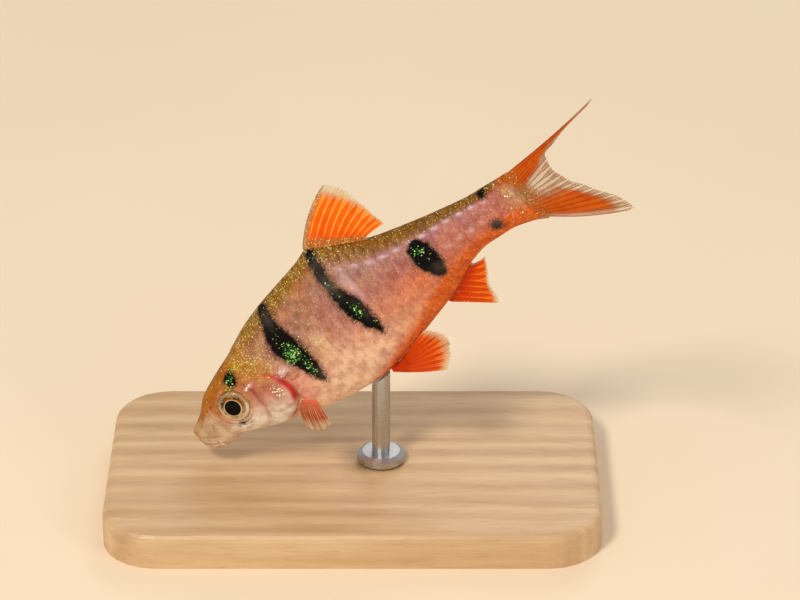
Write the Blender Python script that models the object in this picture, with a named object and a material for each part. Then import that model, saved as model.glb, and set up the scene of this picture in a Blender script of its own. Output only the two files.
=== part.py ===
"""Six-banded barb, life size: a still model of the fish, nose down, held over a plain display stand.

Metres, +Z up. The fish heads towards -X and its left flank faces -Y. The origin is the middle of the
underside of the stand's base. Sizes written as shares are shares of the standard length.
"""
import math

import bmesh
import bpy
from mathutils import Matrix, Vector
from mathutils.bvhtree import BVHTree

MM = 0.001
GAP = 0.3 * MM

# Body: place, pose and length
STANDARD_LENGTH = 48 * MM
NOSE_DOWN = math.radians(42)
SNOUT_TIP = Vector((-17.5 * MM, 0, 7.4 * MM))
BEND_START = 0.45
BEND_TO_LEFT = math.radians(17.8)
TAILWARD = Vector((math.cos(NOSE_DOWN), 0, math.sin(NOSE_DOWN)))
DORSAL = Vector((-math.sin(NOSE_DOWN), 0, math.cos(NOSE_DOWN)))
LEFT = Vector((0, -1, 0))

# Body: profile knots, each a share along the body and a share of height or half width
BACK = ((0, -0.028), (0.002, 0.003), (0.007, 0.0085), (0.015, 0.0115), (0.03, 0.0195), (0.045, 0.0275),
        (0.06, 0.0395), (0.08, 0.0545), (0.127, 0.0735), (0.16, 0.0845), (0.2, 0.0965), (0.23, 0.1115),
        (0.27, 0.1265), (0.34, 0.1445), (0.42, 0.1585), (0.46, 0.1655), (0.49, 0.1733), (0.505, 0.1785),
        (0.56, 0.1485), (0.64, 0.1065), (0.72, 0.0835), (0.8, 0.0665), (0.9, 0.054), (1.0, 0.0547))
BELLY = ((0, -0.028), (0.002, -0.043), (0.0135, -0.0565), (0.0275, -0.068), (0.04, -0.0705),
         (0.055, -0.0725), (0.072, -0.073), (0.084, -0.067), (0.095, -0.0695), (0.127, -0.083),
         (0.2, -0.1145), (0.27, -0.1405), (0.36, -0.165), (0.444, -0.175), (0.55, -0.157), (0.62, -0.14),
         (0.685, -0.121), (0.74, -0.0975), (0.78, -0.0805), (0.85, -0.0665), (0.91, -0.0665),
         (0.955, -0.0755), (1.0, -0.092))
HALF_WIDTH = ((0, 0), (0.03, 0.034), (0.08, 0.050), (0.127, 0.059), (0.2, 0.070), (0.3, 0.077),
              (0.45, 0.074), (0.6, 0.060), (0.75, 0.043), (0.9, 0.029), (1.0, 0.011))
WIDEST_LEVEL = ((0, -0.028), (0.03, -0.02), (0.127, -0.008), (0.3, -0.012), (0.6, -0.004), (1.0, -0.006))
BACK_FULLNESS = ((0, 2.0), (0.15, 2.1), (0.3, 1.9), (0.5, 1.7), (0.7, 1.9), (1.0, 2.2))
BELLY_FULLNESS = ((0, 2.0), (0.15, 2.2), (0.35, 2.2), (0.5, 1.9), (0.7, 1.8), (1.0, 2.2))
AROUND = 32

# Cuts between the lengths of the body
GILL_OPENING = ((0, 0.211), (30, 0.216), (55, 0.235), (70, 0.257), (82, 0.278), (94, 0.286), (105, 0.279),
                (124, 0.245), (140, 0.214), (160, 0.195), (180, 0.190))
GILL_CUT_MIDDLE = 0.285
TAIL_CUT = 0.665

# Head
EYE_STATION = 0.141
EYE_LEVEL = 0.0138
EYE_RADIUS = 1.78 * MM
EYE_HALF_DEPTH = 1.0 * MM
EYE_STANDS_OUT = 0.45 * MM
MOUTH_CORNER = 0.05
MOUTH_DROP = 0.45
MOUTH_STEPS = 7
MOUTH_LINE = 0.25 * MM
MOUTH_LINE_DEPTH = 0.35 * MM
LIP_RADIUS = 0.34 * MM
LIP_APART = 0.85
LIP_SUNK = 0.35
LIP_TAPER = 0.45
NOSTRILS = ((0.077, 47, 0.24 * MM), (0.090, 48, 0.30 * MM))
NOSTRIL_DEPTH = 1.4
BARBELS = ((0.022, 76, 0.8 * MM), (0.046, 108, 1.0 * MM))
BARBEL_ROOT_RADIUS = 0.25 * MM
BARBEL_TIP_RADIUS = 0.1 * MM

# Gill covers
COVER_TOP = 63
COVER_BOTTOM = 150
COVER_FRONT = 0.192
COVER_THICKNESS = 0.65 * MM
COVER_STANDS_OUT = 0.2 * MM
COVER_FRONT_LIFT = 0.25
COVER_CORNER_PULL = 0.75
CHAMBER_OUTWARD = 2 * MM
CHAMBER_PAST_OPENING = 1.5 * MM
FLANK_RADIUS = 5.5 * MM

# Fins: half thickness of a ray and of the web between two rays
RAY_HALF = 0.36 * MM
WEB_HALF = 0.25 * MM
TIP_SHARE = 0.35
WEB_NOTCH = 0.05
TAPER_START = 0.6
FIN_ROWS = 6
TAIL_FIN_ROWS = 8

# Dorsal and anal fins: ray count, base from and to, turn, lean and length over the base from front to rear,
# and the bow of the first and the last ray towards the front, as shares of the ray
DORSAL_FIN = (11, (0.508, 0.634), 0, ((0, 31.7), (0.1, 29.5), (0.35, 28), (0.6, 20.7), (0.8, 11.5), (1, -1)),
              ((0, 0.168), (0.2, 0.157), (0.4, 0.136), (0.6, 0.107), (0.8, 0.079), (1, 0.054)), (0.06, 0.03))
ANAL_FIN = (8, (0.669, 0.774), 180, ((0, -40.9), (0.3, -41.4), (0.55, -37.5), (0.75, -26), (1, 0)),
            ((0, 0.108), (0.15, 0.098), (0.3, 0.081), (0.5, 0.061), (0.75, 0.046), (1, 0.036)), (0.0, 0.05))

# Tail fin: lean up, swing to the left and length of a ray, by its place on the tail's rear edge
TAIL_ROOT_SPAN = 0.97
TAIL_RAY_LEAN = ((-1, -6.5), (-0.95, -5.9), (-0.85, -4.4), (-0.55, -2), (-0.25, 1.7), (0.05, 10.9),
                 (0.35, 20.4), (0.64, 15.2), (0.88, 10.0), (1, 9.2))
TAIL_RAY_SWING = ((-1, 26.1), (-0.85, 23.7), (-0.55, 19.3), (-0.25, 13.5), (0.05, 13.5), (0.35, 11.6),
                  (0.64, 9.3), (0.76, 4.8), (0.88, 0.3), (1, 0))
TAIL_RAY_LENGTH = ((-1, 0.260), (-0.95, 0.280), (-0.85, 0.262), (-0.55, 0.190), (-0.25, 0.130),
                   (0.05, 0.113), (0.35, 0.125), (0.64, 0.168), (0.76, 0.212), (0.88, 0.276), (1, 0.298))
TAIL_RAY_DROOP = ((-1, 0.03), (-0.5, 0.015), (0.5, 0.0), (1, 0.013))
TAIL_LOBES = (("tail_fin_upper", 0.05, 1, 10), ("tail_fin_lower", -0.06, -1, 9))

# Paired fins: ray count, base from and to along and around the body, ways of the first, middle and last
# rays (tailward, left, up), length over the base, and the bow of the first and the last ray towards the
# front. The left pelvic fin is spread and the right one is nearly folded, so that only the left one shows.
PECTORAL_FIN = (13, (0.270, 0.293), (116, 127),
                ((0.0186, 0.1298, -0.006), (0.0176, 0.1263, -0.021), (0.0246, 0.1003, -0.026)),
                ((0, 0.131), (0.25, 0.132), (0.5, 0.129), (0.75, 0.121), (1, 0.1065)), (0.14, 0.0))
PELVIC_FIN_LEFT = (9, (0.459, 0.481), (160, 168),
                   ((0.110, 0.048, -0.055), (0.1465, 0.025, -0.015), (0.100, 0.018, 0.020)),
                   ((0, 0.138), (0.25, 0.147), (0.5, 0.149), (0.8, 0.125), (1, 0.095)), (0.03, 0.0))
PELVIC_FIN_RIGHT = (9, (0.459, 0.481), (160, 168),
                    ((0.110, 0.026, -0.075), (0.115, 0.018, -0.066), (0.115, 0.012, -0.048)),
                    ((0, 0.128), (0.25, 0.130), (0.5, 0.126), (0.8, 0.118), (1, 0.108)), (0.03, 0.0))
PAIRED_FIN_GAP = 0.48 * MM

# Stand
BASE_LENGTH = 54 * MM
BASE_WIDTH = 32 * MM
BASE_THICKNESS = 4 * MM
BASE_CORNER = 6 * MM
BASE_BEVEL = 0.8 * MM
ROD_RADIUS = 1.0 * MM
ROD_STATION = 0.42
COLLAR_RADIUS = 2.6 * MM
COLLAR_HEIGHT = 1.0 * MM
COLLAR_STRAIGHT = 0.7
COLLAR_TOP_SHARE = 0.8
ROD_TOP_GAP = 0.39 * MM
ROD_SIDES = 16

ORANGE = (0.87, 0.27, 0.05)
FLESH = (0.62, 0.36, 0.25)
OLIVE = (0.35, 0.27, 0.10)
STEEL = (0.55, 0.55, 0.56)
MAPLE = (0.72, 0.55, 0.36)
EYE_BLACK = (0.02, 0.018, 0.015)


def smooth_between(knots, x):
    """Value at x of a smooth curve through the knots that never swings past them."""
    xs = [knot[0] for knot in knots]
    ys = [knot[1] for knot in knots]
    x = min(max(x, xs[0]), xs[-1])
    steps = [xs[i + 1] - xs[i] for i in range(len(xs) - 1)]
    slopes = [(ys[i + 1] - ys[i]) / steps[i] for i in range(len(steps))]
    tangents = [slopes[0]]
    for before, after in zip(slopes, slopes[1:]):
        tangents.append(0.0 if before * after <= 0 else 2 * before * after / (before + after))
    tangents.append(slopes[-1])
    i = max(j for j in range(len(steps)) if x >= xs[j])
    t = (x - xs[i]) / steps[i]
    rise = ys[i + 1] - ys[i]
    start_pull = tangents[i] * steps[i]
    end_pull = tangents[i + 1] * steps[i]
    return (ys[i] + start_pull * t + (3 * rise - 2 * start_pull - end_pull) * t ** 2
            + (start_pull + end_pull - 2 * rise) * t ** 3)


def rounded_at_snout(knots, share):
    """A profile that leaves the snout tip round: its curve runs over the square root of the share."""
    return smooth_between([(math.sqrt(knot[0]), knot[1]) for knot in knots], math.sqrt(max(share, 0)))


def spine(share):
    """Point on the body's axis. The axis is straight up to the bend and then a flat arc to the left."""
    curl = BEND_TO_LEFT / (1 - BEND_START)
    past = max(0.0, share - BEND_START)
    along = min(share, BEND_START) + math.sin(curl * past) / curl
    across = (1 - math.cos(curl * past)) / curl
    return SNOUT_TIP + STANDARD_LENGTH * (along * TAILWARD + across * LEFT)


def directions(share):
    """Tailward and left directions of the body there."""
    turn = BEND_TO_LEFT * max(0.0, share - BEND_START) / (1 - BEND_START)
    tailward = math.cos(turn) * TAILWARD + math.sin(turn) * LEFT
    left = math.cos(turn) * LEFT - math.sin(turn) * TAILWARD
    return tailward, left


def skin(share, turn):
    """Point of the skin. Turn, in degrees, is 0 on the back, 90 on the left flank and 180 on the belly."""
    side = math.sin(math.radians(turn))
    rise = math.cos(math.radians(turn))
    level = smooth_between(WIDEST_LEVEL, share)
    if rise >= 0:
        reach = rounded_at_snout(BACK, share) - level
        power = 2 / smooth_between(BACK_FULLNESS, share)
    else:
        reach = level - rounded_at_snout(BELLY, share)
        power = 2 / smooth_between(BELLY_FULLNESS, share)
    across = rounded_at_snout(HALF_WIDTH, share) * math.copysign(abs(side) ** power, side)
    height = level + reach * math.copysign(abs(rise) ** power, rise)
    left = directions(share)[1]
    return spine(share) + STANDARD_LENGTH * (across * left + height * DORSAL)


def skin_normal(share, turn):
    """Outward direction of the skin."""
    step = 0.004
    along = skin(share + step, turn) - skin(max(share - step, 0.0005), turn)
    around = skin(share, turn + 2) - skin(share, turn - 2)
    return around.cross(along).normalized()


def turn_at_level(share, level):
    """Turn at which the left flank passes a level, a share above the axis."""
    low, high = 0.0, 180.0
    for _ in range(40):
        middle = (low + high) / 2
        height = (skin(share, middle) - spine(share)).dot(DORSAL) / STANDARD_LENGTH
        low, high = (middle, high) if height > level else (low, middle)
    return (low + high) / 2


def gill_opening(turn):
    """Share along the body where the gill opening lies, alike on both sides."""
    turn = turn % 360
    return smooth_between(GILL_OPENING, min(turn, 360 - turn))


def finish(name, mesh_points, faces, colour, roughness=0.4, metallic=0.0):
    """New smooth shaded object of the given mesh, with its own material."""
    mesh = bpy.data.meshes.new(name)
    mesh.from_pydata(mesh_points, [], faces)
    mesh.validate()
    thing = bpy.data.objects.new(name, mesh)
    bpy.context.scene.collection.objects.link(thing)
    paint(thing, colour, roughness, metallic)
    mesh.shade_smooth()
    return thing


def paint(thing, colour, roughness, metallic):
    material = bpy.data.materials.new(thing.name)
    material.use_nodes = True
    shader = material.node_tree.nodes["Principled BSDF"]
    shader.inputs["Base Color"].default_value = (*colour, 1)
    shader.inputs["Roughness"].default_value = roughness
    shader.inputs["Metallic"].default_value = metallic
    thing.data.materials.clear()
    thing.data.materials.append(material)


def drop(thing):
    mesh = thing.data
    bpy.data.objects.remove(thing)
    bpy.data.meshes.remove(mesh)


def combine(target, others, operation):
    """Applies one Boolean of the target with all the others, which are then removed."""
    group = bpy.data.collections.new(target.name + "_" + operation.lower())
    bpy.context.scene.collection.children.link(group)
    for other in others:
        bpy.context.scene.collection.objects.unlink(other)
        group.objects.link(other)
    modifier = target.modifiers.new("combine", "BOOLEAN")
    modifier.operation = operation
    modifier.operand_type = "COLLECTION"
    modifier.collection = group
    modifier.solver = "EXACT"
    bpy.context.view_layer.update()
    evaluated = target.evaluated_get(bpy.context.evaluated_depsgraph_get())
    result = bpy.data.meshes.new_from_object(evaluated)
    target.modifiers.clear()
    old = target.data
    target.data = result
    bpy.data.meshes.remove(old)
    for other in list(group.objects):
        drop(other)
    bpy.data.collections.remove(group)
    keep_largest_surface(target)


def keep_largest_surface(thing):
    """Keeps the closed surface with the most faces and drops any scrap."""
    work = bmesh.new()
    work.from_mesh(thing.data)
    bmesh.ops.remove_doubles(work, verts=work.verts, dist=1e-7)
    left_over = set(work.faces)
    pieces = []
    while left_over:
        piece = set()
        front = [left_over.pop()]
        while front:
            face = front.pop()
            piece.add(face)
            for edge in face.edges:
                for neighbour in edge.link_faces:
                    if neighbour in left_over:
                        left_over.remove(neighbour)
                        front.append(neighbour)
        pieces.append(piece)
    pieces.sort(key=len)
    for piece in pieces[:-1]:
        bmesh.ops.delete(work, geom=list(piece), context="FACES")
    loose = [vertex for vertex in work.verts if not vertex.link_faces]
    bmesh.ops.delete(work, geom=loose, context="VERTS")
    work.to_mesh(thing.data)
    work.free()


def body_length(name, start, end, rows, colour, start_middle=None, end_middle=None, crowd=1.0):
    """Closed length of the body between two cuts, each a function of the turn that gives a share."""
    points = []
    faces = []
    rings = []
    for row in range(rows + 1):
        share = (row / rows) ** crowd
        if row == 0 and start_middle is None:
            points.append(skin(0, 0))
            rings.append([0] * AROUND)
            continue
        ring = []
        for column in range(AROUND):
            turn = 360 * column / AROUND
            ring.append(len(points))
            points.append(skin(start(turn) + (end(turn) - start(turn)) * share, turn))
        rings.append(ring)
    for near, far in zip(rings, rings[1:]):
        for column in range(AROUND):
            after = (column + 1) % AROUND
            corners = [near[column], near[after], far[after], far[column]]
            faces.append(corners if near[0] != near[1] else corners[1:])
    if start_middle is not None:
        points.append(spine(start_middle))
        middle = len(points) - 1
        faces.extend([rings[0][(column + 1) % AROUND], rings[0][column], middle] for column in range(AROUND))
    points.append(spine(end_middle))
    middle = len(points) - 1
    faces.extend([rings[-1][column], rings[-1][(column + 1) % AROUND], middle] for column in range(AROUND))
    return finish(name, points, faces, colour)


def ellipsoid(name, centre, axis, radius, half_depth, colour, rings=10, sides=20):
    """Ball flattened along its axis."""
    work = bmesh.new()
    bmesh.ops.create_uvsphere(work, u_segments=sides, v_segments=rings, radius=1)
    turned = axis.to_track_quat("Z", "Y").to_matrix().to_4x4()
    placed = Matrix.Translation(centre) @ turned @ Matrix.Diagonal((radius, radius, half_depth, 1))
    bmesh.ops.transform(work, matrix=placed, verts=work.verts)
    mesh = bpy.data.meshes.new(name)
    work.to_mesh(mesh)
    work.free()
    thing = bpy.data.objects.new(name, mesh)
    bpy.context.scene.collection.objects.link(thing)
    paint(thing, colour, 0.1, 0.0)
    mesh.shade_smooth()
    return thing


def tube(name, path, radii, sides=8):
    """Closed tube along a path of points, with a radius at each."""
    points = []
    faces = []
    lateral = None
    for i, centre in enumerate(path):
        ahead = (path[min(i + 1, len(path) - 1)] - path[max(i - 1, 0)]).normalized()
        if lateral is None:
            lateral = ahead.orthogonal().normalized()
        lateral = (lateral - ahead * lateral.dot(ahead)).normalized()
        other = ahead.cross(lateral)
        for side in range(sides):
            angle = 2 * math.pi * side / sides
            points.append(centre + radii[i] * (math.cos(angle) * lateral + math.sin(angle) * other))
    for i in range(len(path) - 1):
        for side in range(sides):
            after = (side + 1) % sides
            near, far = i * sides, (i + 1) * sides
            faces.append([near + side, near + after, far + after, far + side])
    faces.append(list(range(sides))[::-1])
    faces.append([(len(path) - 1) * sides + side for side in range(sides)])
    return finish(name, points, faces, FLESH)


def mirrored(vector):
    """The same place on the fish's other side, ahead of the bend."""
    return Vector((vector.x, -vector.y, vector.z))


def mouth_path(steps):
    """Points along the mouth from the left corner round the snout to the right, each with its way out."""
    places = []
    for step in range(-steps, steps + 1):
        swing = step / steps
        share = MOUTH_CORNER * swing ** 2
        if step == 0:
            places.append((skin(0, 0), -TAILWARD, 0.0))
            continue
        turn = turn_at_level(share, BACK[0][1] - MOUTH_DROP * share)
        point = skin(share, turn)
        outward = skin_normal(share, turn)
        if step > 0:
            point, outward = mirrored(point), mirrored(outward)
        places.append((point, outward, abs(swing)))
    return places


def mouth_pieces():
    """The two lips, and the thin band that cuts the line between them."""
    upright = (DORSAL + MOUTH_DROP * TAILWARD).normalized()
    places = [(point, (out - upright * out.dot(upright)).normalized(), swing)
              for point, out, swing in mouth_path(MOUTH_STEPS)]
    lips = []
    for name, way in (("upper_lip", 1), ("lower_lip", -1)):
        path = [point + upright * way * LIP_RADIUS * LIP_APART - out * LIP_RADIUS * LIP_SUNK
                for point, out, swing in places]
        radii = [LIP_RADIUS * (1 - LIP_TAPER * swing ** 3) for point, out, swing in places]
        lips.append(tube(name, path, radii))
    points = []
    faces = []
    for point, out, swing in places:
        inner = point - out * MOUTH_LINE_DEPTH * (1 - 0.5 * swing)
        outer = point + out * 3 * LIP_RADIUS
        for corner, way in ((inner, -1), (inner, 1), (outer, 1), (outer, -1)):
            points.append(corner + upright * way * MOUTH_LINE / 2)
    for i in range(len(places) - 1):
        for side in range(4):
            after = (side + 1) % 4
            faces.append([i * 4 + side, i * 4 + after, (i + 1) * 4 + after, (i + 1) * 4 + side])
    faces.append([3, 2, 1, 0])
    faces.append([len(points) - 4 + side for side in range(4)])
    band = finish("mouth_band", points, faces, FLESH)
    face_outward(band)
    return lips, band


def face_outward(thing):
    work = bmesh.new()
    work.from_mesh(thing.data)
    bmesh.ops.recalc_face_normals(work, faces=work.faces)
    work.to_mesh(thing.data)
    work.free()


def barbel(share, turn, length, side):
    """Feeler with its root sunk in the lip, hanging down, out and back."""
    root = skin(share, turn)
    out = skin_normal(share, turn)
    path = []
    radii = []
    for step in range(6):
        reach = step / 5
        way = out * (1.1 - 0.7 * reach) - DORSAL * 0.6 + TAILWARD * 0.75 * reach
        start = path[-1] if path else root - out * BARBEL_ROOT_RADIUS * 2
        path.append(start + way.normalized() * length / 5 if path else start)
        radii.append(BARBEL_ROOT_RADIUS + (BARBEL_TIP_RADIUS - BARBEL_ROOT_RADIUS) * reach)
    if side > 0:
        path = [mirrored(point) for point in path]
    return tube("barbel", path, radii, sides=6)


def eye_place(side):
    """Centre and outward axis of an eye; side is -1 on the left and 1 on the right."""
    turn = turn_at_level(EYE_STATION, EYE_LEVEL)
    out = skin_normal(EYE_STATION, turn)
    centre = skin(EYE_STATION, turn) + out * (EYE_STANDS_OUT - EYE_HALF_DEPTH)
    return (centre, out) if side < 0 else (mirrored(centre), mirrored(out))


def cover_slab(name, side, grow, out_to, in_to, past_rear, rows=12, columns=6):
    """Slab that follows the skin over the gill chamber; grow widens it, in metres, past its outline."""
    middle = (COVER_TOP + COVER_BOTTOM) / 2
    half = (COVER_BOTTOM - COVER_TOP) / 2
    outer = []
    inner = []
    for row in range(rows + 1):
        swing = 2 * row / rows - 1
        turn = middle + swing * (half + math.degrees(grow / FLANK_RADIUS))
        rear = gill_opening(turn) + past_rear / STANDARD_LENGTH
        front = COVER_FRONT + (gill_opening(turn) - COVER_FRONT) * COVER_CORNER_PULL * abs(swing) ** 3
        front -= grow / STANDARD_LENGTH
        for column in range(columns + 1):
            share = front + (rear - front) * column / columns
            point = skin(share, turn)
            out = skin_normal(share, turn)
            lift = out_to * (COVER_FRONT_LIFT + (1 - COVER_FRONT_LIFT) * column / columns)
            outer.append(point + out * lift)
            inner.append(point - out * in_to)
    return sheet(name, outer, inner, rows, columns, side, FLESH)


def sheet(name, outer, inner, rows, columns, side, colour):
    """Closed sheet between two alike grids of points, split into triangles alike on both faces."""
    wide = columns + 1
    count = len(outer)
    points = outer + inner
    faces = []
    for row in range(rows):
        for column in range(columns):
            a = row * wide + column
            b, c, d = a + 1, a + wide + 1, a + wide
            faces.extend([[a, b, c], [a, c, d]])
            faces.extend([[count + a, count + c, count + b], [count + a, count + d, count + c]])
    rim = ([column for column in range(columns)] + [row * wide + columns for row in range(rows)]
           + [rows * wide + columns - column for column in range(columns)]
           + [(rows - row) * wide for row in range(rows)])
    for a, b in zip(rim, rim[1:] + rim[:1]):
        faces.extend([[b, a, count + a], [b, count + a, count + b]])
    if side > 0:
        points = [mirrored(point) for point in points]
    thing = finish(name, points, faces, colour)
    face_outward(thing)
    return thing


def fin(name, rays, rows=FIN_ROWS):
    """Fin sheet with a ridge along each ray. A ray is its root, its tip and its bow at half way."""
    columns = []
    for i, (root, tip, bow) in enumerate(rays):
        if i:
            before_root, before_tip, before_bow = rays[i - 1]
            web_root = (before_root + root) / 2
            web_tip = web_root + ((before_tip + tip) / 2 - web_root) * (1 - WEB_NOTCH)
            columns.append((web_root, web_tip, (before_bow + bow) / 2, WEB_HALF))
        columns.append((root, tip, bow, RAY_HALF))
    middle = []
    for row in range(rows + 1):
        reach = row / rows
        middle.append([root + (tip - root) * reach + bow * 4 * reach * (1 - reach)
                       for root, tip, bow, half in columns])
    outer = []
    inner = []
    for row in range(rows + 1):
        taper = 1 - (1 - TIP_SHARE) * max(0, row / rows - TAPER_START) / (1 - TAPER_START)
        for column, (root, tip, bow, half) in enumerate(columns):
            along = middle[min(row + 1, rows)][column] - middle[max(row - 1, 0)][column]
            across = middle[row][min(column + 1, len(columns) - 1)] - middle[row][max(column - 1, 0)]
            aside = along.cross(across).normalized()
            outer.append(middle[row][column] + aside * half * taper)
            inner.append(middle[row][column] - aside * half * taper)
    return sheet(name, outer, inner, rows, len(columns) - 1, -1, ORANGE)


def median_fin(name, count, shares, turn, lean, length, bows):
    """Fin in the fish's middle plane. Lean is each ray's angle to the body's axis, over the fin's base."""
    rays = []
    for i in range(count):
        along = i / (count - 1)
        share = shares[0] + (shares[1] - shares[0]) * along
        root = skin(share, turn) + skin_normal(share, turn) * GAP
        tailward = directions(share)[0]
        angle = math.radians(smooth_between(lean, along))
        reach = smooth_between(length, along) * STANDARD_LENGTH
        way = tailward * math.cos(angle) + DORSAL * math.sin(angle)
        forward = DORSAL * math.cos(angle) - tailward * math.sin(angle)
        bow = forward * (1 if turn == 0 else -1) * (bows[0] + (bows[1] - bows[0]) * along) * reach
        rays.append((root, root + way * reach, bow))
    fin(name, rays)


def tail_fin(name, first, last, count):
    """One lobe of the tail fin, its rays between two places on the tail's rear edge (-1 low, 1 high)."""
    top = rounded_at_snout(BACK, 1)
    bottom = rounded_at_snout(BELLY, 1)
    tailward, left = directions(1)
    rays = []
    for i in range(count):
        place = first + (last - first) * i / (count - 1)
        level = (top + bottom) / 2 + place * TAIL_ROOT_SPAN * (top - bottom) / 2
        root = spine(1) + DORSAL * level * STANDARD_LENGTH + tailward * GAP
        lean = math.radians(smooth_between(TAIL_RAY_LEAN, place))
        swing = math.radians(smooth_between(TAIL_RAY_SWING, place))
        reach = smooth_between(TAIL_RAY_LENGTH, place) * STANDARD_LENGTH
        flat = tailward * math.cos(swing) + left * math.sin(swing)
        way = flat * math.cos(lean) + DORSAL * math.sin(lean)
        rays.append((root, root + way * reach, -DORSAL * smooth_between(TAIL_RAY_DROOP, place) * reach))
    fin(name, rays, rows=TAIL_FIN_ROWS)


def paired_fin(name, side, count, shares, turns, ways, length, bows):
    """Pectoral or pelvic fin: a fan whose roots run along a line on the flank; side is -1 left, 1 right."""
    first, middle, last = (Vector(way).normalized() for way in ways)
    forward = (first - middle).normalized()
    rays = []
    for i in range(count):
        along = i / (count - 1)
        share = shares[0] + (shares[1] - shares[0]) * along
        turn = turns[0] + (turns[1] - turns[0]) * along
        tailward, left = directions(share)
        root = skin(share, turn) + skin_normal(share, turn) * PAIRED_FIN_GAP
        mix = first.lerp(middle, along * 2) if along < 0.5 else middle.lerp(last, along * 2 - 1)
        reach = smooth_between(length, along) * STANDARD_LENGTH
        way = (tailward * mix.x + left * mix.y + DORSAL * mix.z).normalized()
        front = tailward * forward.x + left * forward.y + DORSAL * forward.z
        tip = root + way * reach
        bow = front * (bows[0] + (bows[1] - bows[0]) * along) * reach
        if side > 0:
            root, tip, bow = mirrored(root), mirrored(tip), mirrored(bow)
        rays.append((root, tip, bow))
    fin(name, rays)


def stand(torso):
    """Base with rounded corners, and the rod that meets the belly."""
    work = bmesh.new()
    outline = []
    for corner, (way_x, way_y) in enumerate(((1, 1), (-1, 1), (-1, -1), (1, -1))):
        for step in range(7):
            angle = math.radians(90 * corner + 15 * step)
            outline.append(work.verts.new((
                way_x * (BASE_LENGTH / 2 - BASE_CORNER) + BASE_CORNER * math.cos(angle),
                way_y * (BASE_WIDTH / 2 - BASE_CORNER) + BASE_CORNER * math.sin(angle), 0)))
    floor = work.faces.new(outline)
    grown = bmesh.ops.extrude_face_region(work, geom=[floor])
    lifted = [item for item in grown["geom"] if isinstance(item, bmesh.types.BMVert)]
    bmesh.ops.translate(work, verts=lifted, vec=(0, 0, BASE_THICKNESS))
    rim = [edge for edge in work.edges if all(vertex in lifted for vertex in edge.verts)]
    bmesh.ops.bevel(work, geom=rim, offset=BASE_BEVEL, segments=3, profile=0.5, affect="EDGES")
    bmesh.ops.recalc_face_normals(work, faces=work.faces)
    mesh = bpy.data.meshes.new("stand_base")
    work.to_mesh(mesh)
    work.free()
    base = bpy.data.objects.new("stand_base", mesh)
    bpy.context.scene.collection.objects.link(base)
    paint(base, MAPLE, 0.45, 0.0)

    foot = skin(ROD_STATION, 180)
    surface = BVHTree.FromPolygons([vertex.co for vertex in torso.data.vertices],
                                   [face.vertices for face in torso.data.polygons])
    bottom = BASE_THICKNESS + GAP
    levels = ((COLLAR_RADIUS, bottom), (COLLAR_RADIUS, bottom + COLLAR_HEIGHT * COLLAR_STRAIGHT),
              (COLLAR_RADIUS * COLLAR_TOP_SHARE, bottom + COLLAR_HEIGHT),
              (ROD_RADIUS, bottom + COLLAR_HEIGHT))
    points = []
    faces = []
    for radius, height in levels:
        for side in range(ROD_SIDES):
            angle = 2 * math.pi * side / ROD_SIDES
            points.append(Vector((foot.x + radius * math.cos(angle), radius * math.sin(angle), height)))
    for side in range(ROD_SIDES):
        angle = 2 * math.pi * side / ROD_SIDES
        below = Vector((foot.x + ROD_RADIUS * math.cos(angle), ROD_RADIUS * math.sin(angle), 0))
        hit = surface.ray_cast(below, Vector((0, 0, 1)))[0]
        points.append(Vector((below.x, below.y, hit.z - ROD_TOP_GAP)))
    for level in range(len(levels)):
        for side in range(ROD_SIDES):
            after = (side + 1) % ROD_SIDES
            faces.append([level * ROD_SIDES + side, level * ROD_SIDES + after,
                          (level + 1) * ROD_SIDES + after, (level + 1) * ROD_SIDES + side])
    faces.append(list(range(ROD_SIDES))[::-1])
    points.append(Vector((foot.x, 0, sum(point.z for point in points[-ROD_SIDES:]) / ROD_SIDES)))
    last = len(levels) * ROD_SIDES
    faces.extend([last + side, last + (side + 1) % ROD_SIDES, len(points) - 1] for side in range(ROD_SIDES))
    rod = finish("stand_rod", points, faces, STEEL, 0.3, 1.0)
    rod.data.set_sharp_from_angle(angle=math.radians(35))


def head():
    """Head with its lips, mouth line, feelers, nostrils, eye sockets and gill chambers."""
    gap = GAP / 2 / STANDARD_LENGTH
    skull = body_length("head", lambda turn: 0.0, lambda turn: gill_opening(turn) - gap, 18, OLIVE,
                        end_middle=GILL_CUT_MIDDLE - gap, crowd=1.5)
    lips, mouth_band = mouth_pieces()
    feelers = [barbel(*sizes, side) for sizes in BARBELS for side in (-1, 1)]
    combine(skull, lips + feelers, "UNION")
    cutters = [mouth_band]
    for side in (-1, 1):
        centre, out = eye_place(side)
        cutters.append(ellipsoid("socket", centre, out, EYE_RADIUS + GAP, EYE_HALF_DEPTH + GAP, OLIVE))
        for share, turn, radius in NOSTRILS:
            pit = skin(share, turn)
            way = skin_normal(share, turn)
            if side > 0:
                pit, way = mirrored(pit), mirrored(way)
            cutters.append(ellipsoid("nostril", pit, way, radius, radius * NOSTRIL_DEPTH, OLIVE, 6, 10))
        cutters.append(cover_slab("gill_chamber", side, GAP, CHAMBER_OUTWARD, COVER_THICKNESS + GAP,
                                  CHAMBER_PAST_OPENING))
    combine(skull, cutters, "DIFFERENCE")
    skull.data.set_sharp_from_angle(angle=math.radians(40))


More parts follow.
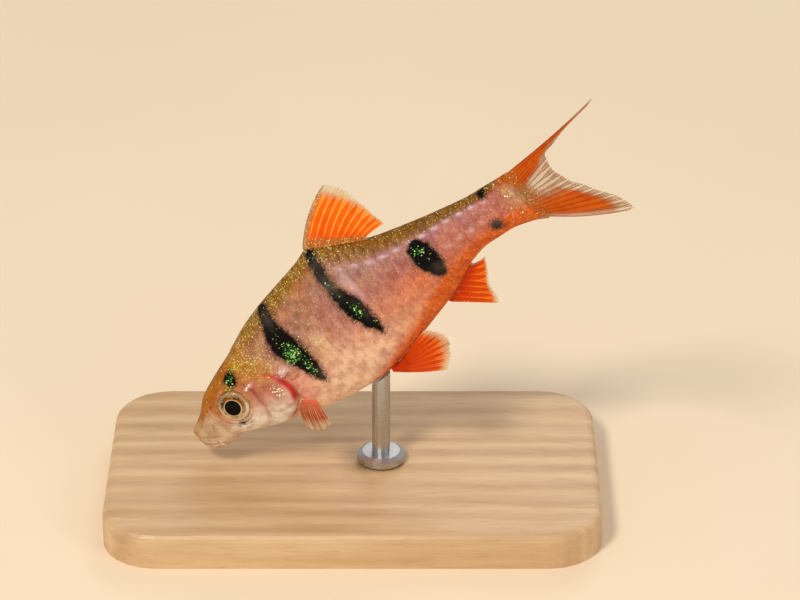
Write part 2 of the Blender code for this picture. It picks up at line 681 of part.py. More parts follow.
def main():
    for thing in list(bpy.data.objects):
        bpy.data.objects.remove(thing)
    gap = GAP / 2 / STANDARD_LENGTH
    head()
    for name, side in (("left", -1), ("right", 1)):
        centre, out = eye_place(side)
        ellipsoid("eye_" + name, centre, out, EYE_RADIUS, EYE_HALF_DEPTH, EYE_BLACK)
        cover_slab("gill_cover_" + name, side, 0, COVER_STANDS_OUT, COVER_THICKNESS, -GAP / 2)
    torso = body_length("torso", lambda turn: gill_opening(turn) + gap, lambda turn: TAIL_CUT - gap, 20,
                        FLESH, start_middle=GILL_CUT_MIDDLE + gap, end_middle=TAIL_CUT - gap)
    body_length("tail", lambda turn: TAIL_CUT + gap, lambda turn: 1.0, 14, FLESH,
                start_middle=TAIL_CUT + gap, end_middle=1.0)
    median_fin("dorsal_fin", *DORSAL_FIN)
    median_fin("anal_fin", *ANAL_FIN)
    for lobe in TAIL_LOBES:
        tail_fin(*lobe)
    for name, side in (("left", -1), ("right", 1)):
        paired_fin("pectoral_fin_" + name, side, *PECTORAL_FIN)
    paired_fin("pelvic_fin_left", -1, *PELVIC_FIN_LEFT)
    paired_fin("pelvic_fin_right", 1, *PELVIC_FIN_RIGHT)
    stand(torso)


main()
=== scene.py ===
"""Looks of the six-banded barb model: its skin, scales, fins and eyes, and the stand under it."""
import math

import bpy
import numpy as np
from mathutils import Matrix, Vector


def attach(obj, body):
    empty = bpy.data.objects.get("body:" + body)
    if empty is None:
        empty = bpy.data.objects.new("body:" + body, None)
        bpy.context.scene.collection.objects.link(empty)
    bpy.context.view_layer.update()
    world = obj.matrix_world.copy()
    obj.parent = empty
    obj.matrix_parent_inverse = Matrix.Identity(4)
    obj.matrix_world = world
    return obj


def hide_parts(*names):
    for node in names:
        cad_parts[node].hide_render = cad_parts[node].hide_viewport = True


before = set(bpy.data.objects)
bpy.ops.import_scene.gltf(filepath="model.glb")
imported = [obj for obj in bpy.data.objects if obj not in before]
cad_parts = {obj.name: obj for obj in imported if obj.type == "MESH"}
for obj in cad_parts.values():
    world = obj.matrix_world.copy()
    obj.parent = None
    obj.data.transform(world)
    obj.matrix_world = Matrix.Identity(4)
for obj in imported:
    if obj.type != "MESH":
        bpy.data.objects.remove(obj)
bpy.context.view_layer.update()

MM = 0.001

# The body's form, as the solids have it; shares are shares of the standard length
STANDARD_LENGTH = 48 * MM
NOSE_DOWN = math.radians(42)
SNOUT_TIP = np.array((-17.5 * MM, 0, 7.4 * MM))
BEND_START = 0.45
BEND_TO_LEFT = math.radians(17.8)
TAILWARD = np.array((math.cos(NOSE_DOWN), 0, math.sin(NOSE_DOWN)))
DORSAL = np.array((-math.sin(NOSE_DOWN), 0, math.cos(NOSE_DOWN)))
LEFT = np.array((0.0, -1.0, 0.0))
BACK = ((0, -0.028), (0.002, 0.003), (0.007, 0.0085), (0.015, 0.0115), (0.03, 0.0195),
        (0.045, 0.0275), (0.06, 0.0395), (0.08, 0.0545), (0.127, 0.0735), (0.16, 0.0845),
        (0.2, 0.0965), (0.23, 0.1115), (0.27, 0.1265), (0.34, 0.1445), (0.42, 0.1585),
        (0.46, 0.1655), (0.49, 0.1733), (0.505, 0.1785), (0.56, 0.1485), (0.64, 0.1065),
        (0.72, 0.0835), (0.8, 0.0665), (0.9, 0.054), (1.0, 0.0547))
BELLY = ((0, -0.028), (0.002, -0.043), (0.0135, -0.0565), (0.0275, -0.068), (0.04, -0.0705),
         (0.055, -0.0725), (0.072, -0.073), (0.084, -0.067), (0.095, -0.0695), (0.127, -0.083),
         (0.2, -0.1145), (0.27, -0.1405), (0.36, -0.165), (0.444, -0.175), (0.55, -0.157),
         (0.62, -0.14), (0.685, -0.121), (0.74, -0.0975), (0.78, -0.0805), (0.85, -0.0665),
         (0.91, -0.0665), (0.955, -0.0755), (1.0, -0.092))
HALF_WIDTH = ((0, 0), (0.03, 0.034), (0.08, 0.050), (0.127, 0.059), (0.2, 0.070), (0.3, 0.077),
              (0.45, 0.074), (0.6, 0.060), (0.75, 0.043), (0.9, 0.029), (1.0, 0.011))
WIDEST_LEVEL = ((0, -0.028), (0.03, -0.02), (0.127, -0.008), (0.3, -0.012), (0.6, -0.004),
                (1.0, -0.006))
BACK_FULLNESS = ((0, 2.0), (0.15, 2.1), (0.3, 1.9), (0.5, 1.7), (0.7, 1.9), (1.0, 2.2))
BELLY_FULLNESS = ((0, 2.0), (0.15, 2.2), (0.35, 2.2), (0.5, 1.9), (0.7, 1.8), (1.0, 2.2))
GILL_OPENING = ((0, 0.211), (30, 0.216), (55, 0.235), (70, 0.257), (82, 0.278), (94, 0.286),
                (105, 0.279), (124, 0.245), (140, 0.214), (160, 0.195), (180, 0.190))

# Skin mesh
SKIN_AROUND = 288
HEAD_ROWS = 150
BODY_ROWS = 150
HEAD_CROWDING = 1.3
SKIN_UNDER_SCALES = 0.06 * MM
TAIL_BASE_REACH = 0.01

# Gill flap, folded under: each ring's place behind the opening, its pull forward and its lift
GILL_FOLD = ((0.0, 0.0, 0.02), (0.001, 0.003, -0.06), (0.002, 0.006, -0.12), (0.003, 0.002, -0.14),
             (0.009, 0.0, -0.11), (0.016, 0.0, -0.07))
GILL_EDGE_LIFT = 0.06
GILL_EDGE_SHARPNESS = 20
BEHIND_GILL_FOLD = 0.022
BEHIND_GILL_SUNK = 0.05

# Head
EYE_STATION = 0.141
EYE_LEVEL = 0.0138
EYE_RADIUS = 1.78 * MM
EYE_DOME = 0.42 * MM
EYE_RIM_SUNK = 0.14 * MM
EYE_BACK = 0.9 * MM
LENS_RISE = 0.07 * MM
IRIS_DIP = 0.04 * MM
EYE_RINGS = 40
EYE_SPOKES = 96
MOUTH_CORNER = 0.05
MOUTH_DROP = 0.45
NOSTRILS = ((0.077, 47, 0.20), (0.090, 48, 0.26))
BARBELS = ((0.022, 76, 0.8 * MM), (0.046, 108, 1.0 * MM))
BARBEL_SIDES = 10
BARBEL_STEPS = 14
BARBEL_SUNK = 0.4 * MM
BARBEL_RADIUS = 0.2
BARBEL_TAPER = 0.13
HEAD_ENDS = 0.24
PREOPERCLE = ((55, 0.188), (65, 0.193), (78, 0.199), (90, 0.1955), (104, 0.191), (120, 0.180),
              (143, 0.162), (160, 0.150))

# Relief of the head, in millimetres
LIP_HEIGHT = 0.07
MOUTH_DEPTH = 0.17
LIP_FOLD_DEPTH = 0.05
NOSTRIL_RIM_HEIGHT = 0.07
NOSTRIL_DEPTH = 0.3
EYE_RING_HEIGHT = 0.10
EYE_FOLD_DEPTH = 0.05
CHEEK_FOLD_DEPTH = 0.045
SOCKET_DEPTH = 1.25
SOCKET_SLACK = 0.02
CHEEK_BONE_HEIGHT = 0.07
CHEEK_GROOVE_DEPTH = 0.09
GILL_COVER_HEIGHT = 0.14
GILL_COVER_SEAM_DEPTH = 0.06
GILL_COVER_RIPPLE = 0.035
GILL_RAYS = 3
GILL_RAY_HEIGHT = 0.06
THROAT_DEPTH = 0.12
NAPE_EDGE_HEIGHT = 0.05

# Scales: pitches are millimetres by the share, heights and thicknesses millimetres
SCALE_PITCH = ((0.2, 1.35), (0.3, 1.6), (0.55, 1.72), (0.8, 1.5), (1.0, 1.1))
ROW_PITCH = ((0.2, 1.45), (0.35, 1.75), (0.5, 1.78), (0.65, 1.5), (0.8, 1.15), (1.0, 0.98))
LATERAL_LINE = 86
FIRST_SCALES = 0.205
SCALE_ACROSS = 10
SCALE_ALONG = 7
SCALE_ROOT = 0.62
SCALE_THICKNESS = 0.013
SCALE_GAP = 0.004
SCALE_RISE = 0.017
SCALE_CROWN = 0.010
SCALE_RIM_DROP = 0.012
SCALE_PATCH = 0.003
SCALE_NUMBERING = 0.618
BARE_BY_FIN = (0.281, 121, 0.6, 0.6, 0.095)
BARE_ABOVE = 0.37
BARE_BY_GILL = 0.03
BARE_BY_NAPE_AND_THROAT = 0.008
BARE_TAIL_END = 0.034

# Millimetres round the skin that a degree of turn is counted as in the marks and spots below
PER_DEGREE = 0.1

# Dark marks: the front and rear edge of each, by the turn round the body
BAND_ONE = ((4, 0.336, 0.349), (12, 0.329, 0.354), (25, 0.326, 0.3545), (38, 0.320, 0.355),
            (51, 0.310, 0.357), (63, 0.305, 0.366), (75, 0.315, 0.3675), (85, 0.323, 0.3665),
            (94, 0.331, 0.364), (105, 0.339, 0.355), (112, 0.346, 0.350))
BAND_TWO = ((5, 0.513, 0.523), (10, 0.509, 0.527), (31, 0.500, 0.525), (43, 0.4985, 0.523),
            (55, 0.4995, 0.521), (63, 0.496, 0.528), (71, 0.495, 0.539), (81, 0.496, 0.543),
            (92, 0.5025, 0.5415), (103, 0.512, 0.538), (113, 0.522, 0.534), (117, 0.528, 0.531))
BLOTCH = ((47, 0.722, 0.728), (50, 0.714, 0.738), (58, 0.703, 0.747), (66, 0.6995, 0.7525),
          (80, 0.699, 0.7535), (94, 0.7025, 0.752), (106, 0.7075, 0.747), (116, 0.715, 0.740),
          (121, 0.7235, 0.730))
BLOTCH_SWELL = 0.05

# Small dark spots: millimetres worn off the rim, share, turn, half length, half height and
# millimetres a degree
DARK_SPOTS = ((0.2, 0.905, 112, 0.85, 0.75, 0.045), (0.0, 0.924, 20, 0.5, 0.9, 0.045),
              (0.08, 0.176, 41, 0.9, 0.95, 0.07), (0.38, 0.128, 107, 0.8, 0.5, 0.065))

# Soft spots of colour and glitter, and of painted highlight: strength, share, turn, half length,
# half height and, where it isn't PER_DEGREE, millimetres a degree
GREEN_SPOTS = ((1.5, 0.337, 72, 1.0, 0.95), (0.9, 0.345, 94, 0.5, 1.0), (0.22, 0.34, 35, 0.6, 1.6),
               (0.95, 0.520, 80, 0.6, 1.2), (0.4, 0.512, 52, 0.5, 1.4), (0.35, 0.53, 104, 0.5, 0.7),
               (0.95, 0.722, 66, 0.75, 0.9), (0.4, 0.73, 88, 0.6, 0.6),
               (0.7, 0.176, 41, 0.8, 0.7, 0.07), (0.9, 0.158, 54, 0.7, 0.6, 0.07),
               (0.85, 0.203, 31, 0.7, 0.7, 0.075))
GOLD_SPOTS = ((0.7, 0.222, 38, 1.0, 1.1, 0.08), (1.0, 0.240, 54, 1.2, 1.2, 0.085),
              (0.95, 0.257, 67, 1.0, 0.8, 0.09), (0.4, 0.378, 86, 1.3, 1.3, 0.1),
              (0.25, 0.41, 60, 1.2, 1.8, 0.1), (0.45, 0.53, 18, 1.4, 1.0, 0.1),
              (0.4, 0.286, 52, 0.8, 1.6, 0.09), (0.3, 0.402, 80, 0.8, 1.2, 0.1),
              (0.35, 0.968, 62, 0.7, 1.4, 0.05), (0.2, 0.972, 100, 0.7, 1.4, 0.05))
FADED_SPOTS = ((0.62, 0.512, 52, 0.9, 1.1), (0.4, 0.512, 30, 0.6, 0.9), (0.5, 0.351, 106, 0.5, 1.0),
               (0.45, 0.737, 108, 1.2, 0.9), (0.5, 0.905, 112, 1.2, 1.2, 0.045),
               (0.3, 0.53, 86, 0.35, 1.2), (0.35, 0.340, 30, 0.6, 1.2))
PURPLE_SPOTS = ((0.6, 0.215, 72, 0.9, 0.8, 0.08), (0.3, 0.244, 113, 0.8, 0.7, 0.09),
                (0.75, 0.246, 91, 0.95, 1.0, 0.09))
PINK_SPOTS = ((1.0, 0.296, 103, 1.4, 1.5), (0.8, 0.285, 113, 1.3, 0.9),
              (0.35, 0.235, 84, 1.4, 1.2, 0.09))
# The first cream spot is the gill cover's glitter; the second and third are painted highlights, wet
# glints behind the gill cover's red edge and on the cheek
CREAM_GLITTER_AND_GLINT_SPOTS = ((2.2, 0.249, 92, 0.5, 0.6), (1.1, 0.291, 80, 0.6, 0.4),
               (1.2, 0.202, 69, 0.35, 0.18, 0.08), (0.14, 0.965, 80, 0.8, 2.4, 0.045))
# Painted highlights: wet glints on the cheek and on the gill cover, and a pale sheen behind the
# second band
PAINTED_GLINT_SPOTS = ((0.9, 0.203, 68, 0.6, 0.14, 0.08), (0.5, 0.293, 79, 0.8, 0.35, 0.09),
              (0.4, 0.548, 60, 0.5, 1.6))
ORANGE_SPOTS = ((0.5, 0.665, 106, 3.6, 2.6),)
PALE_SPOTS = ((0.75, 0.407, 85, 0.9, 1.4),)

# Where tints begin and end: turns by the share, and shares by the turn
OLIVE_EDGE = ((0.03, 50), (0.1, 37), (0.14, 29), (0.2, 24), (0.28, 31), (0.4, 29), (0.5, 25),
              (0.56, 32), (0.7, 39), (0.9, 41), (1, 36))
ORANGE_EDGE = ((0.34, 186), (0.41, 158), (0.5, 145), (0.6, 137), (0.7, 128), (0.8, 123), (0.9, 119),
               (0.96, 112), (1, 100))
MUZZLE_EDGE = ((0, 0.022), (35, 0.043), (46, 0.067), (63, 0.08), (100, 0.092), (122, 0.096),
               (180, 0.13))
RED_WIDTH = ((64, 0.003), (70, 0.006), (82, 0.010), (94, 0.014), (105, 0.014), (114, 0.009),
             (124, 0.003))
# Rows of the painted blue sheen: the upper row's turn by the share, the pitch of its dashes in
# millimetres, and the lower row's turn
BLUE_ROW = ((0.54, 41), (0.64, 46.6), (0.75, 46.5), (0.8, 43), (0.86, 42.5), (0.91, 48),
            (0.955, 68))
BLUE_DASH = 1.62
LOWER_ROW_TURN = 88

# Fins, as the solids have them
DORSAL_FIN = dict(sheet=dict(rows=60, ray_half=0.08 * MM, ray_width=0.14), rays=11,
                  shares=(0.508, 0.634), turn=0, bows=(0.06, 0.03),
                  lean=((0, 31.7), (0.1, 29.5), (0.35, 28), (0.6, 20.7), (0.8, 11.5), (1, -1)),
                  length=((0, 0.168), (0.2, 0.157), (0.4, 0.136), (0.6, 0.107), (0.8, 0.079),
                          (1, 0.054)))
ANAL_FIN = dict(sheet=dict(rows=50, ray_half=0.07 * MM), rays=8, shares=(0.669, 0.774), turn=180,
                bows=(0.0, 0.05),
                lean=((0, -40.9), (0.3, -41.4), (0.55, -37.5), (0.75, -26), (1, 0)),
                length=((0, 0.108), (0.15, 0.098), (0.3, 0.081), (0.5, 0.061), (0.75, 0.046),
                        (1, 0.036)))
TAIL_SHEET = dict(rows=84, ray_half=0.085 * MM, ray_width=0.13, soft_edge=0.03, splits=(0.26, 0.52),
                  root_rows=10)
TAIL_ROOT_SPAN = 0.97
TAIL_SUNK_SPAN = 0.95
TAIL_RAYS = 19
TAIL_RAY_LEAN = ((-1, -6.5), (-0.95, -5.9), (-0.85, -4.4), (-0.55, -2), (-0.25, 1.7), (0.05, 10.9),
                 (0.35, 20.4), (0.64, 15.2), (0.88, 10.0), (1, 9.2))
TAIL_RAY_SWING = ((-1, 26.1), (-0.85, 23.7), (-0.55, 19.3), (-0.25, 13.5), (0.05, 13.5),
                  (0.35, 11.6), (0.64, 9.3), (0.76, 4.8), (0.88, 0.3), (1, 0))
TAIL_RAY_LENGTH = ((-1, 0.260), (-0.95, 0.280), (-0.85, 0.262), (-0.55, 0.190), (-0.25, 0.130),
                   (0.05, 0.113), (0.35, 0.125), (0.64, 0.168), (0.76, 0.212), (0.88, 0.276),
                   (1, 0.298))
TAIL_RAY_DROOP = ((-1, 0.03), (-0.5, 0.015), (0.5, 0.0), (1, 0.013))
PECTORAL_FIN = dict(sheet=dict(rows=44, ray_half=0.055 * MM), rays=13, shares=(0.270, 0.293),
                    turns=(116, 127), bows=(0.14, 0.0),
                    ways=((0.0186, 0.1298, -0.006), (0.0176, 0.1263, -0.021),
                          (0.0246, 0.1003, -0.026)),
                    length=((0, 0.131), (0.25, 0.132), (0.5, 0.129), (0.75, 0.121), (1, 0.1065)))
PELVIC_FIN_LEFT = dict(sheet=dict(rows=44, ray_half=0.06 * MM), rays=9, shares=(0.459, 0.481),
                       turns=(160, 168), bows=(0.03, 0.0),
                       ways=((0.110, 0.048, -0.055), (0.1465, 0.025, -0.013),
                             (0.100, 0.015, 0.031)),
                       length=((0, 0.138), (0.25, 0.147), (0.5, 0.149), (0.8, 0.130), (1, 0.110)))
PELVIC_FIN_RIGHT = dict(sheet=dict(rows=44, ray_half=0.06 * MM), rays=9, shares=(0.459, 0.481),
                        turns=(160, 168), bows=(0.03, 0.0),
                        ways=((0.110, 0.026, -0.075), (0.115, 0.018, -0.066),
                              (0.115, 0.012, -0.048)),
                        length=((0, 0.128), (0.25, 0.130), (0.5, 0.126), (0.8, 0.118), (1, 0.108)))
FIN_GAP = 0.3 * MM
PAIRED_FIN_GAP = 0.48 * MM
FIN_SUNK = 0.35 * MM
TAIL_FIN_FROM = 0.964
WEB_HALF = 0.03 * MM
FIN_FLUTTER = 0.07 * MM
FLUTTER_PACE = 2.1
TIP_RIPPLE = 0.012
TIP_PACES = (12.9898, 4.1414)
RAY_JOINTS = 0.06

# Camera, as the photograph was taken: picture points a metre at the fish, and the snout's place
CAMERA_DISTANCE = 0.36
CAMERA_ABOVE = math.radians(28)
POINTS_PER_METRE = 9290.6
SNOUT_SHOWS_AT = (189.71, 436.295)
PICTURE = (800, 600)

# Studio: each lamp's place, size, power and tone
LAMPS = (("key", (-0.20, -0.30, 0.42), 0.12, 1.7, (1.0, 0.96, 0.91)),
         ("fill", (0.34, -0.30, 0.20), 0.22, 0.35, (0.96, 0.98, 1.0)),
         ("back", (0.10, 0.36, 0.30), 0.2, 0.3, (1.0, 0.97, 0.93)))
LAMP_AIM = (0, 0, 0.03)
ROOM_TONE = (1.0, 0.97, 0.93, 1)
ROOM_STRENGTH = 0.50
FLOOR_HALF = 2.0


def tone(red, green, blue):
    """A display colour of 0 to 255 as the linear colour that a shader takes."""
    parts = [part / 255 for part in (red, green, blue)]
    return tuple(part / 12.92 if part <= 0.04045 else ((part + 0.055) / 1.055) ** 2.4
                 for part in parts) + (1.0,)


def smooth_between(knots, x):
    """Smooth curve through the knots, read at every x, that never swings past them."""
    xs, ys = np.array(knots, float).T
    x = np.clip(x, xs[0], xs[-1])
    steps = np.diff(xs)
    slopes = np.diff(ys) / steps
    before, after = slopes[:-1], slopes[1:]
    agree = before * after > 0
    inner = np.where(agree, 2 * before * after / np.where(agree, before + after, 1), 0)
    tangents = np.concatenate([slopes[:1], inner, slopes[-1:]])
    i = np.clip(np.searchsorted(xs, x, side="right") - 1, 0, len(steps) - 1)
    t = (x - xs[i]) / steps[i]
    rise = ys[i + 1] - ys[i]
    start_pull = tangents[i] * steps[i]
    end_pull = tangents[i + 1] * steps[i]
    return (ys[i] + start_pull * t + (3 * rise - 2 * start_pull - end_pull) * t ** 2
            + (start_pull + end_pull - 2 * rise) * t ** 3)


def ease(low, high, x):
    """0 below low, 1 above high and a smooth rise between; a low above the high falls instead."""
    t = np.clip((x - low) / (high - low), 0, 1)
    return t * t * (3 - 2 * t)


def bell(x, width):
    """1 at nought, falling smoothly to next to nothing at twice the width."""
    return np.exp(-(x / width) ** 2)


def unit(vectors):
    """The vectors, made one long."""
    return vectors / np.maximum(np.linalg.norm(vectors, axis=-1, keepdims=True), 1e-12)


def rounded_at_snout(knots, share):
    """Curve through knots of (share, value), steep at the snout as a blunt tip is."""
    return smooth_between([(math.sqrt(knot[0]), knot[1]) for knot in knots],
                          np.sqrt(np.maximum(share, 0)))


def directions(share):
    """Tailward and left directions of the body there."""
    turn = (BEND_TO_LEFT * np.maximum(0, share - BEND_START) / (1 - BEND_START))[..., None]
    tailward = np.cos(turn) * TAILWARD + np.sin(turn) * LEFT
    return tailward, np.cos(turn) * LEFT - np.sin(turn) * TAILWARD


def spine(share):
    """Points of the body's axis, straight as far as the bend and then on a circle to the left."""
    curl = BEND_TO_LEFT / (1 - BEND_START)
    past = np.maximum(0, share - BEND_START)
    along = np.minimum(share, BEND_START) + np.sin(curl * past) / curl
    across = (1 - np.cos(curl * past)) / curl
    return SNOUT_TIP + STANDARD_LENGTH * (along[..., None] * TAILWARD + across[..., None] * LEFT)


def level_on_skin(share, turn):
    """Height of the skin above the body's axis there, as a share of the standard length."""
    rise = np.cos(np.radians(turn))
    level = smooth_between(WIDEST_LEVEL, share)
    upper = rise >= 0
    reach = np.where(upper, rounded_at_snout(BACK, share) - level,
                     level - rounded_at_snout(BELLY, share))
    power = 2 / np.where(upper, smooth_between(BACK_FULLNESS, share),
                         smooth_between(BELLY_FULLNESS, share))
    return level + reach * np.sign(rise) * np.abs(rise) ** power, power


def skin(share, turn):
    """Points of the skin; turn is 0 degrees on the back, 90 on the left flank, 180 on the belly."""
    share, turn = np.broadcast_arrays(np.asarray(share, float), np.asarray(turn, float))
    kept = np.minimum(share, 1)
    height, power = level_on_skin(kept, turn)
    side = np.sin(np.radians(turn))
    across = rounded_at_snout(HALF_WIDTH, kept) * np.sign(side) * np.abs(side) ** power
    across = across * (1 - 0.86 * ease(0.93, 1.0, share))
    tailward, left = directions(kept)
    past = np.maximum(share - 1, 0)[..., None]
    return (spine(kept) + STANDARD_LENGTH
            * (across[..., None] * left + height[..., None] * DORSAL + past * tailward))


def skin_end(turn):
    """Share at which the skin ends among the tail fin's rays, furthest back at half height."""
    return 1 + TAIL_BASE_REACH * np.abs(np.sin(np.radians(turn)))


def skin_normal(share, turn):
    """Outward directions of the skin."""
    share, turn = np.broadcast_arrays(np.asarray(share, float), np.asarray(turn, float))
    along = skin(share + 0.004, turn) - skin(np.maximum(share - 0.004, 0.0005), turn)
    around = skin(share, turn + 2) - skin(share, turn - 2)
    return unit(np.cross(around, along))


def folded(turn):
    """Turn measured from the back on either side, 0 to 180."""
    turn = np.mod(turn, 360)
    return np.minimum(turn, 360 - turn)


TABLE_SHARES = np.linspace(0, 1, 201)
TABLE_TURNS = np.linspace(0, 180, 181)
table_points = skin(TABLE_SHARES[:, None], TABLE_TURNS[None, :])
table_steps = np.linalg.norm(np.diff(table_points, axis=1), axis=-1) / MM
ROUND_TABLE = np.concatenate([np.zeros((len(TABLE_SHARES), 1)), np.cumsum(table_steps, axis=1)],
                             axis=1)


def round_at(share):
    """Row of the table, for each share: millimetres round the skin from the back, by the turn."""
    place = np.clip(share, 0, 1) * (len(TABLE_SHARES) - 1)
    low = np.minimum(place.astype(int), len(TABLE_SHARES) - 2)
    part = (place - low)[:, None]
    return ROUND_TABLE[low] * (1 - part) + ROUND_TABLE[low + 1] * part


def turn_from_round(share, distance):
    """Turn at a distance round the skin from the back, also past the back and the belly."""
    rows = round_at(share)
    half = rows[:, -1]
    sign = np.where(distance < 0, -1.0, 1.0)
    inside = np.abs(distance)
    beyond = inside > half
    inside = np.where(beyond, 2 * half - inside, inside)
    low = np.clip((rows < inside[:, None]).sum(axis=1) - 1, 0, 179)
    at = np.arange(len(share))
    turn = low + (inside - rows[at, low]) / np.maximum(rows[at, low + 1] - rows[at, low], 1e-9)
    return sign * np.where(beyond, 360 - turn, turn)


def turn_at_level(share, level):
    """Turn at which the skin is at a height above the body's axis, found by halving."""
    low, high = 0.0, 180.0
    for _ in range(40):
        middle = (low + high) / 2
        height = float(level_on_skin(np.array(share), np.array(middle))[0])
        low, high = (middle, high) if height > level else (low, middle)
    return (low + high) / 2


EYE_TURN = turn_at_level(EYE_STATION, EYE_LEVEL)


def eye_place(side):
    """Skin point under an eye's middle, and the way out; side is -1 on the left, 1 on the right."""
    turn = EYE_TURN if side < 0 else 360 - EYE_TURN
    return skin(EYE_STATION, turn), skin_normal(EYE_STATION, turn)


def millimetres_from_snout(share):
    """Length along the body that a share stands for."""
    return share * STANDARD_LENGTH / MM


def edge_distance(marks, share, turn):
    """Millimetres outside a dark mark, negative inside, from its front and rear edges."""
    turns = [mark[0] for mark in marks]
    front = smooth_between([(mark[0], mark[1]) for mark in marks], turn)
    rear = smooth_between([(mark[0], mark[2]) for mark in marks], turn)
    lengthwise = np.maximum(front - share, share - rear) * STANDARD_LENGTH / MM
    crosswise = np.maximum(turns[0] - turn, turn - turns[-1]) * PER_DEGREE
    return np.where(crosswise > 0, np.hypot(np.maximum(lengthwise, 0), crosswise), lengthwise)


def about_spot(share, turn, at_share, at_turn, half_long, half_tall, per_degree=PER_DEGREE):
    """Place about an oval spot's middle, lengthwise and crosswise, in its own half sizes."""
    x = (share - at_share) * STANDARD_LENGTH / MM / half_long
    y = (turn - at_turn) * per_degree / half_tall
    return x, y


def spot_distance(share, turn, spot):
    """Millimetres outside an oval spot, roughly; negative inside."""
    x, y = about_spot(share, turn, *spot)
    return (np.hypot(x, y) - 1) * min(spot[2:4])


def near_spot(share, turn, spot):
    """1 at the middle of a soft oval spot, falling away round it."""
    x, y = about_spot(share, turn, *spot)
    return np.exp(-(x ** 2 + y ** 2))


def soft_spots(table, share, turn):
    """The table's soft spots, each by its strength, added up."""
    return sum(strength * near_spot(share, turn, spot) for strength, *spot in table)


def dark_distance(share, turn):
    """Millimetres outside the nearest dark mark; negative inside."""
    marks = [edge_distance(BAND_ONE, share, turn), edge_distance(BAND_TWO, share, turn),
             edge_distance(BLOTCH, share, turn) - BLOTCH_SWELL]
    marks += [spot_distance(share, turn, spot) + worn for worn, *spot in DARK_SPOTS]
    return np.minimum.reduce(marks)


def body_tints(share, turn):
    """Shares of the olive back, the orange under the tail stalk and the pale lower flank."""
    olive_edge = smooth_between(OLIVE_EDGE, share)
    olive = ease(olive_edge + 9, olive_edge - 7, turn) * (1 - 0.6 * ease(0.1, 0.03, share))
    orange_edge = smooth_between(ORANGE_EDGE, share)
    orange = ease(orange_edge - 16, orange_edge + 12, turn) * ease(0.33, 0.45, share)
    orange += (0.55 * ease(0.62, 0.9, share) * ease(75, 125, turn)
               + soft_spots(ORANGE_SPOTS, share, turn))
    pale = ease(84, 122, turn) * ease(0.22, 0.3, share) * ease(0.58, 0.38, share)
    pale += soft_spots(PALE_SPOTS, share, turn)
    return olive, np.clip(orange, 0, 1), np.clip(pale, 0, 1)


def head_tints(share, turn, gill):
    """Shares of the grey muzzle, the silver under the cheek and the brown top of the head."""
    muzzle_edge = smooth_between(MUZZLE_EDGE, turn)
    muzzle = ease(muzzle_edge + 0.022, muzzle_edge - 0.012, share)
    silver = ease(84, 100, turn) * ease(gill + 0.01, gill - 0.02, share) * ease(0.06, 0.1, share)
    brown = ease(gill + 0.06, gill - 0.01, share) * ease(100, 78, turn)
    return muzzle, silver, brown


def gill_tints(share, turn, gill):
    """Shares of the gill cover's red edge, the cheek's purple and the pink behind them."""
    red_edge = gill - smooth_between(RED_WIDTH, turn)
    red = ease(red_edge - 0.008, red_edge + 0.004, share) * ease(gill + 0.003, gill - 0.003, share)
    red *= ease(60, 70, turn) * ease(122, 104, turn)
    line = (share - smooth_between(PREOPERCLE, turn)) * STANDARD_LENGTH / MM
    purple = 0.5 * bell(line - 0.2, 0.3) * ease(60, 72, turn) * ease(138, 112, turn)
    purple += soft_spots(PURPLE_SPOTS, share, turn)
    return red, np.clip(purple, 0, 1), np.clip(soft_spots(PINK_SPOTS, share, turn), 0, 1)


def gold_dust(share, turn, gill, dark, olive):
    """Amount of gold specks: most on the back, the nape and behind the eye, none on dark marks."""
    gold = olive * (0.42 * ease(0.16, 0.22, share) * ease(0.56, 0.48, share) + 0.16)
    gold += soft_spots(GOLD_SPOTS, share, turn)
    gold += 0.12 * ease(0.5, 0.54, share) * ease(42, 28, turn)
    gold *= ease(-0.25, 0.15, dark) * 0.95 + 0.05
    gold += 0.02 * ease(gill - 0.01, gill + 0.02, share)
    gold += 0.03 * ease(120, 90, turn) * ease(0.5, 0.3, share)
    return np.clip(gold, 0, 1)


def painted_blue_sheen(share, turn):
    """Strength of the painted pale blue sheen: a dashed row of glints high on the flank with a
    faint haze round it, one below it, and spots of painted highlight.
    """
    dash = 0.5 + 0.5 * np.sin(2 * math.pi * millimetres_from_snout(share) / BLUE_DASH)
    degree = round_per_degree(share)
    above = (turn - smooth_between(BLUE_ROW, share)) * degree
    row = 0.8 * bell(above, 0.17) * (0.1 + 0.9 * dash ** 2) + 0.07 * bell(above - 0.2, 0.8)
    row *= ease(0.5, 0.6, share) * ease(0.96, 0.9, share)
    lower_row = (bell((turn - LOWER_ROW_TURN) * degree, 0.2) * ease(0.7, 0.8, share)
                 * ease(0.92, 0.86, share))
    return row + 0.35 * lower_row * dash + soft_spots(PAINTED_GLINT_SPOTS, share, turn)


def markings(share, turn):
    """Where each tint, dark mark, kind of glitter and painted sheen lies, for skin and scales
    alike.
    """
    turn = folded(turn)
    gill = smooth_between(GILL_OPENING, turn)
    dark = dark_distance(share, turn)
    green = np.clip(soft_spots(GREEN_SPOTS, share, turn), 0, 1)
    faded = np.clip(soft_spots(FADED_SPOTS, share, turn), 0, 1)
    cream = np.clip(soft_spots(CREAM_GLITTER_AND_GLINT_SPOTS, share, turn), 0, 1)
    tints = body_tints(share, turn)
    gold = gold_dust(share, turn, gill, dark, tints[0])
    return {"body_place": (share, turn / 180, faded),
            "dark_marks": (dark, green, ease(0.944, 0.99, share)), "body_tints": tints,
            "head_tints": head_tints(share, turn, gill),
            "gill_tints": gill_tints(share, turn, gill),
            # Specks: gold, cream flakes with painted glints among them, and the painted blue sheen
            "specks": (gold, cream, painted_blue_sheen(share, turn))}


def round_per_degree(share):
    """Millimetres round the skin for a degree of turn, on average."""
    return np.interp(share, TABLE_SHARES, ROUND_TABLE[:, -1] / 180)


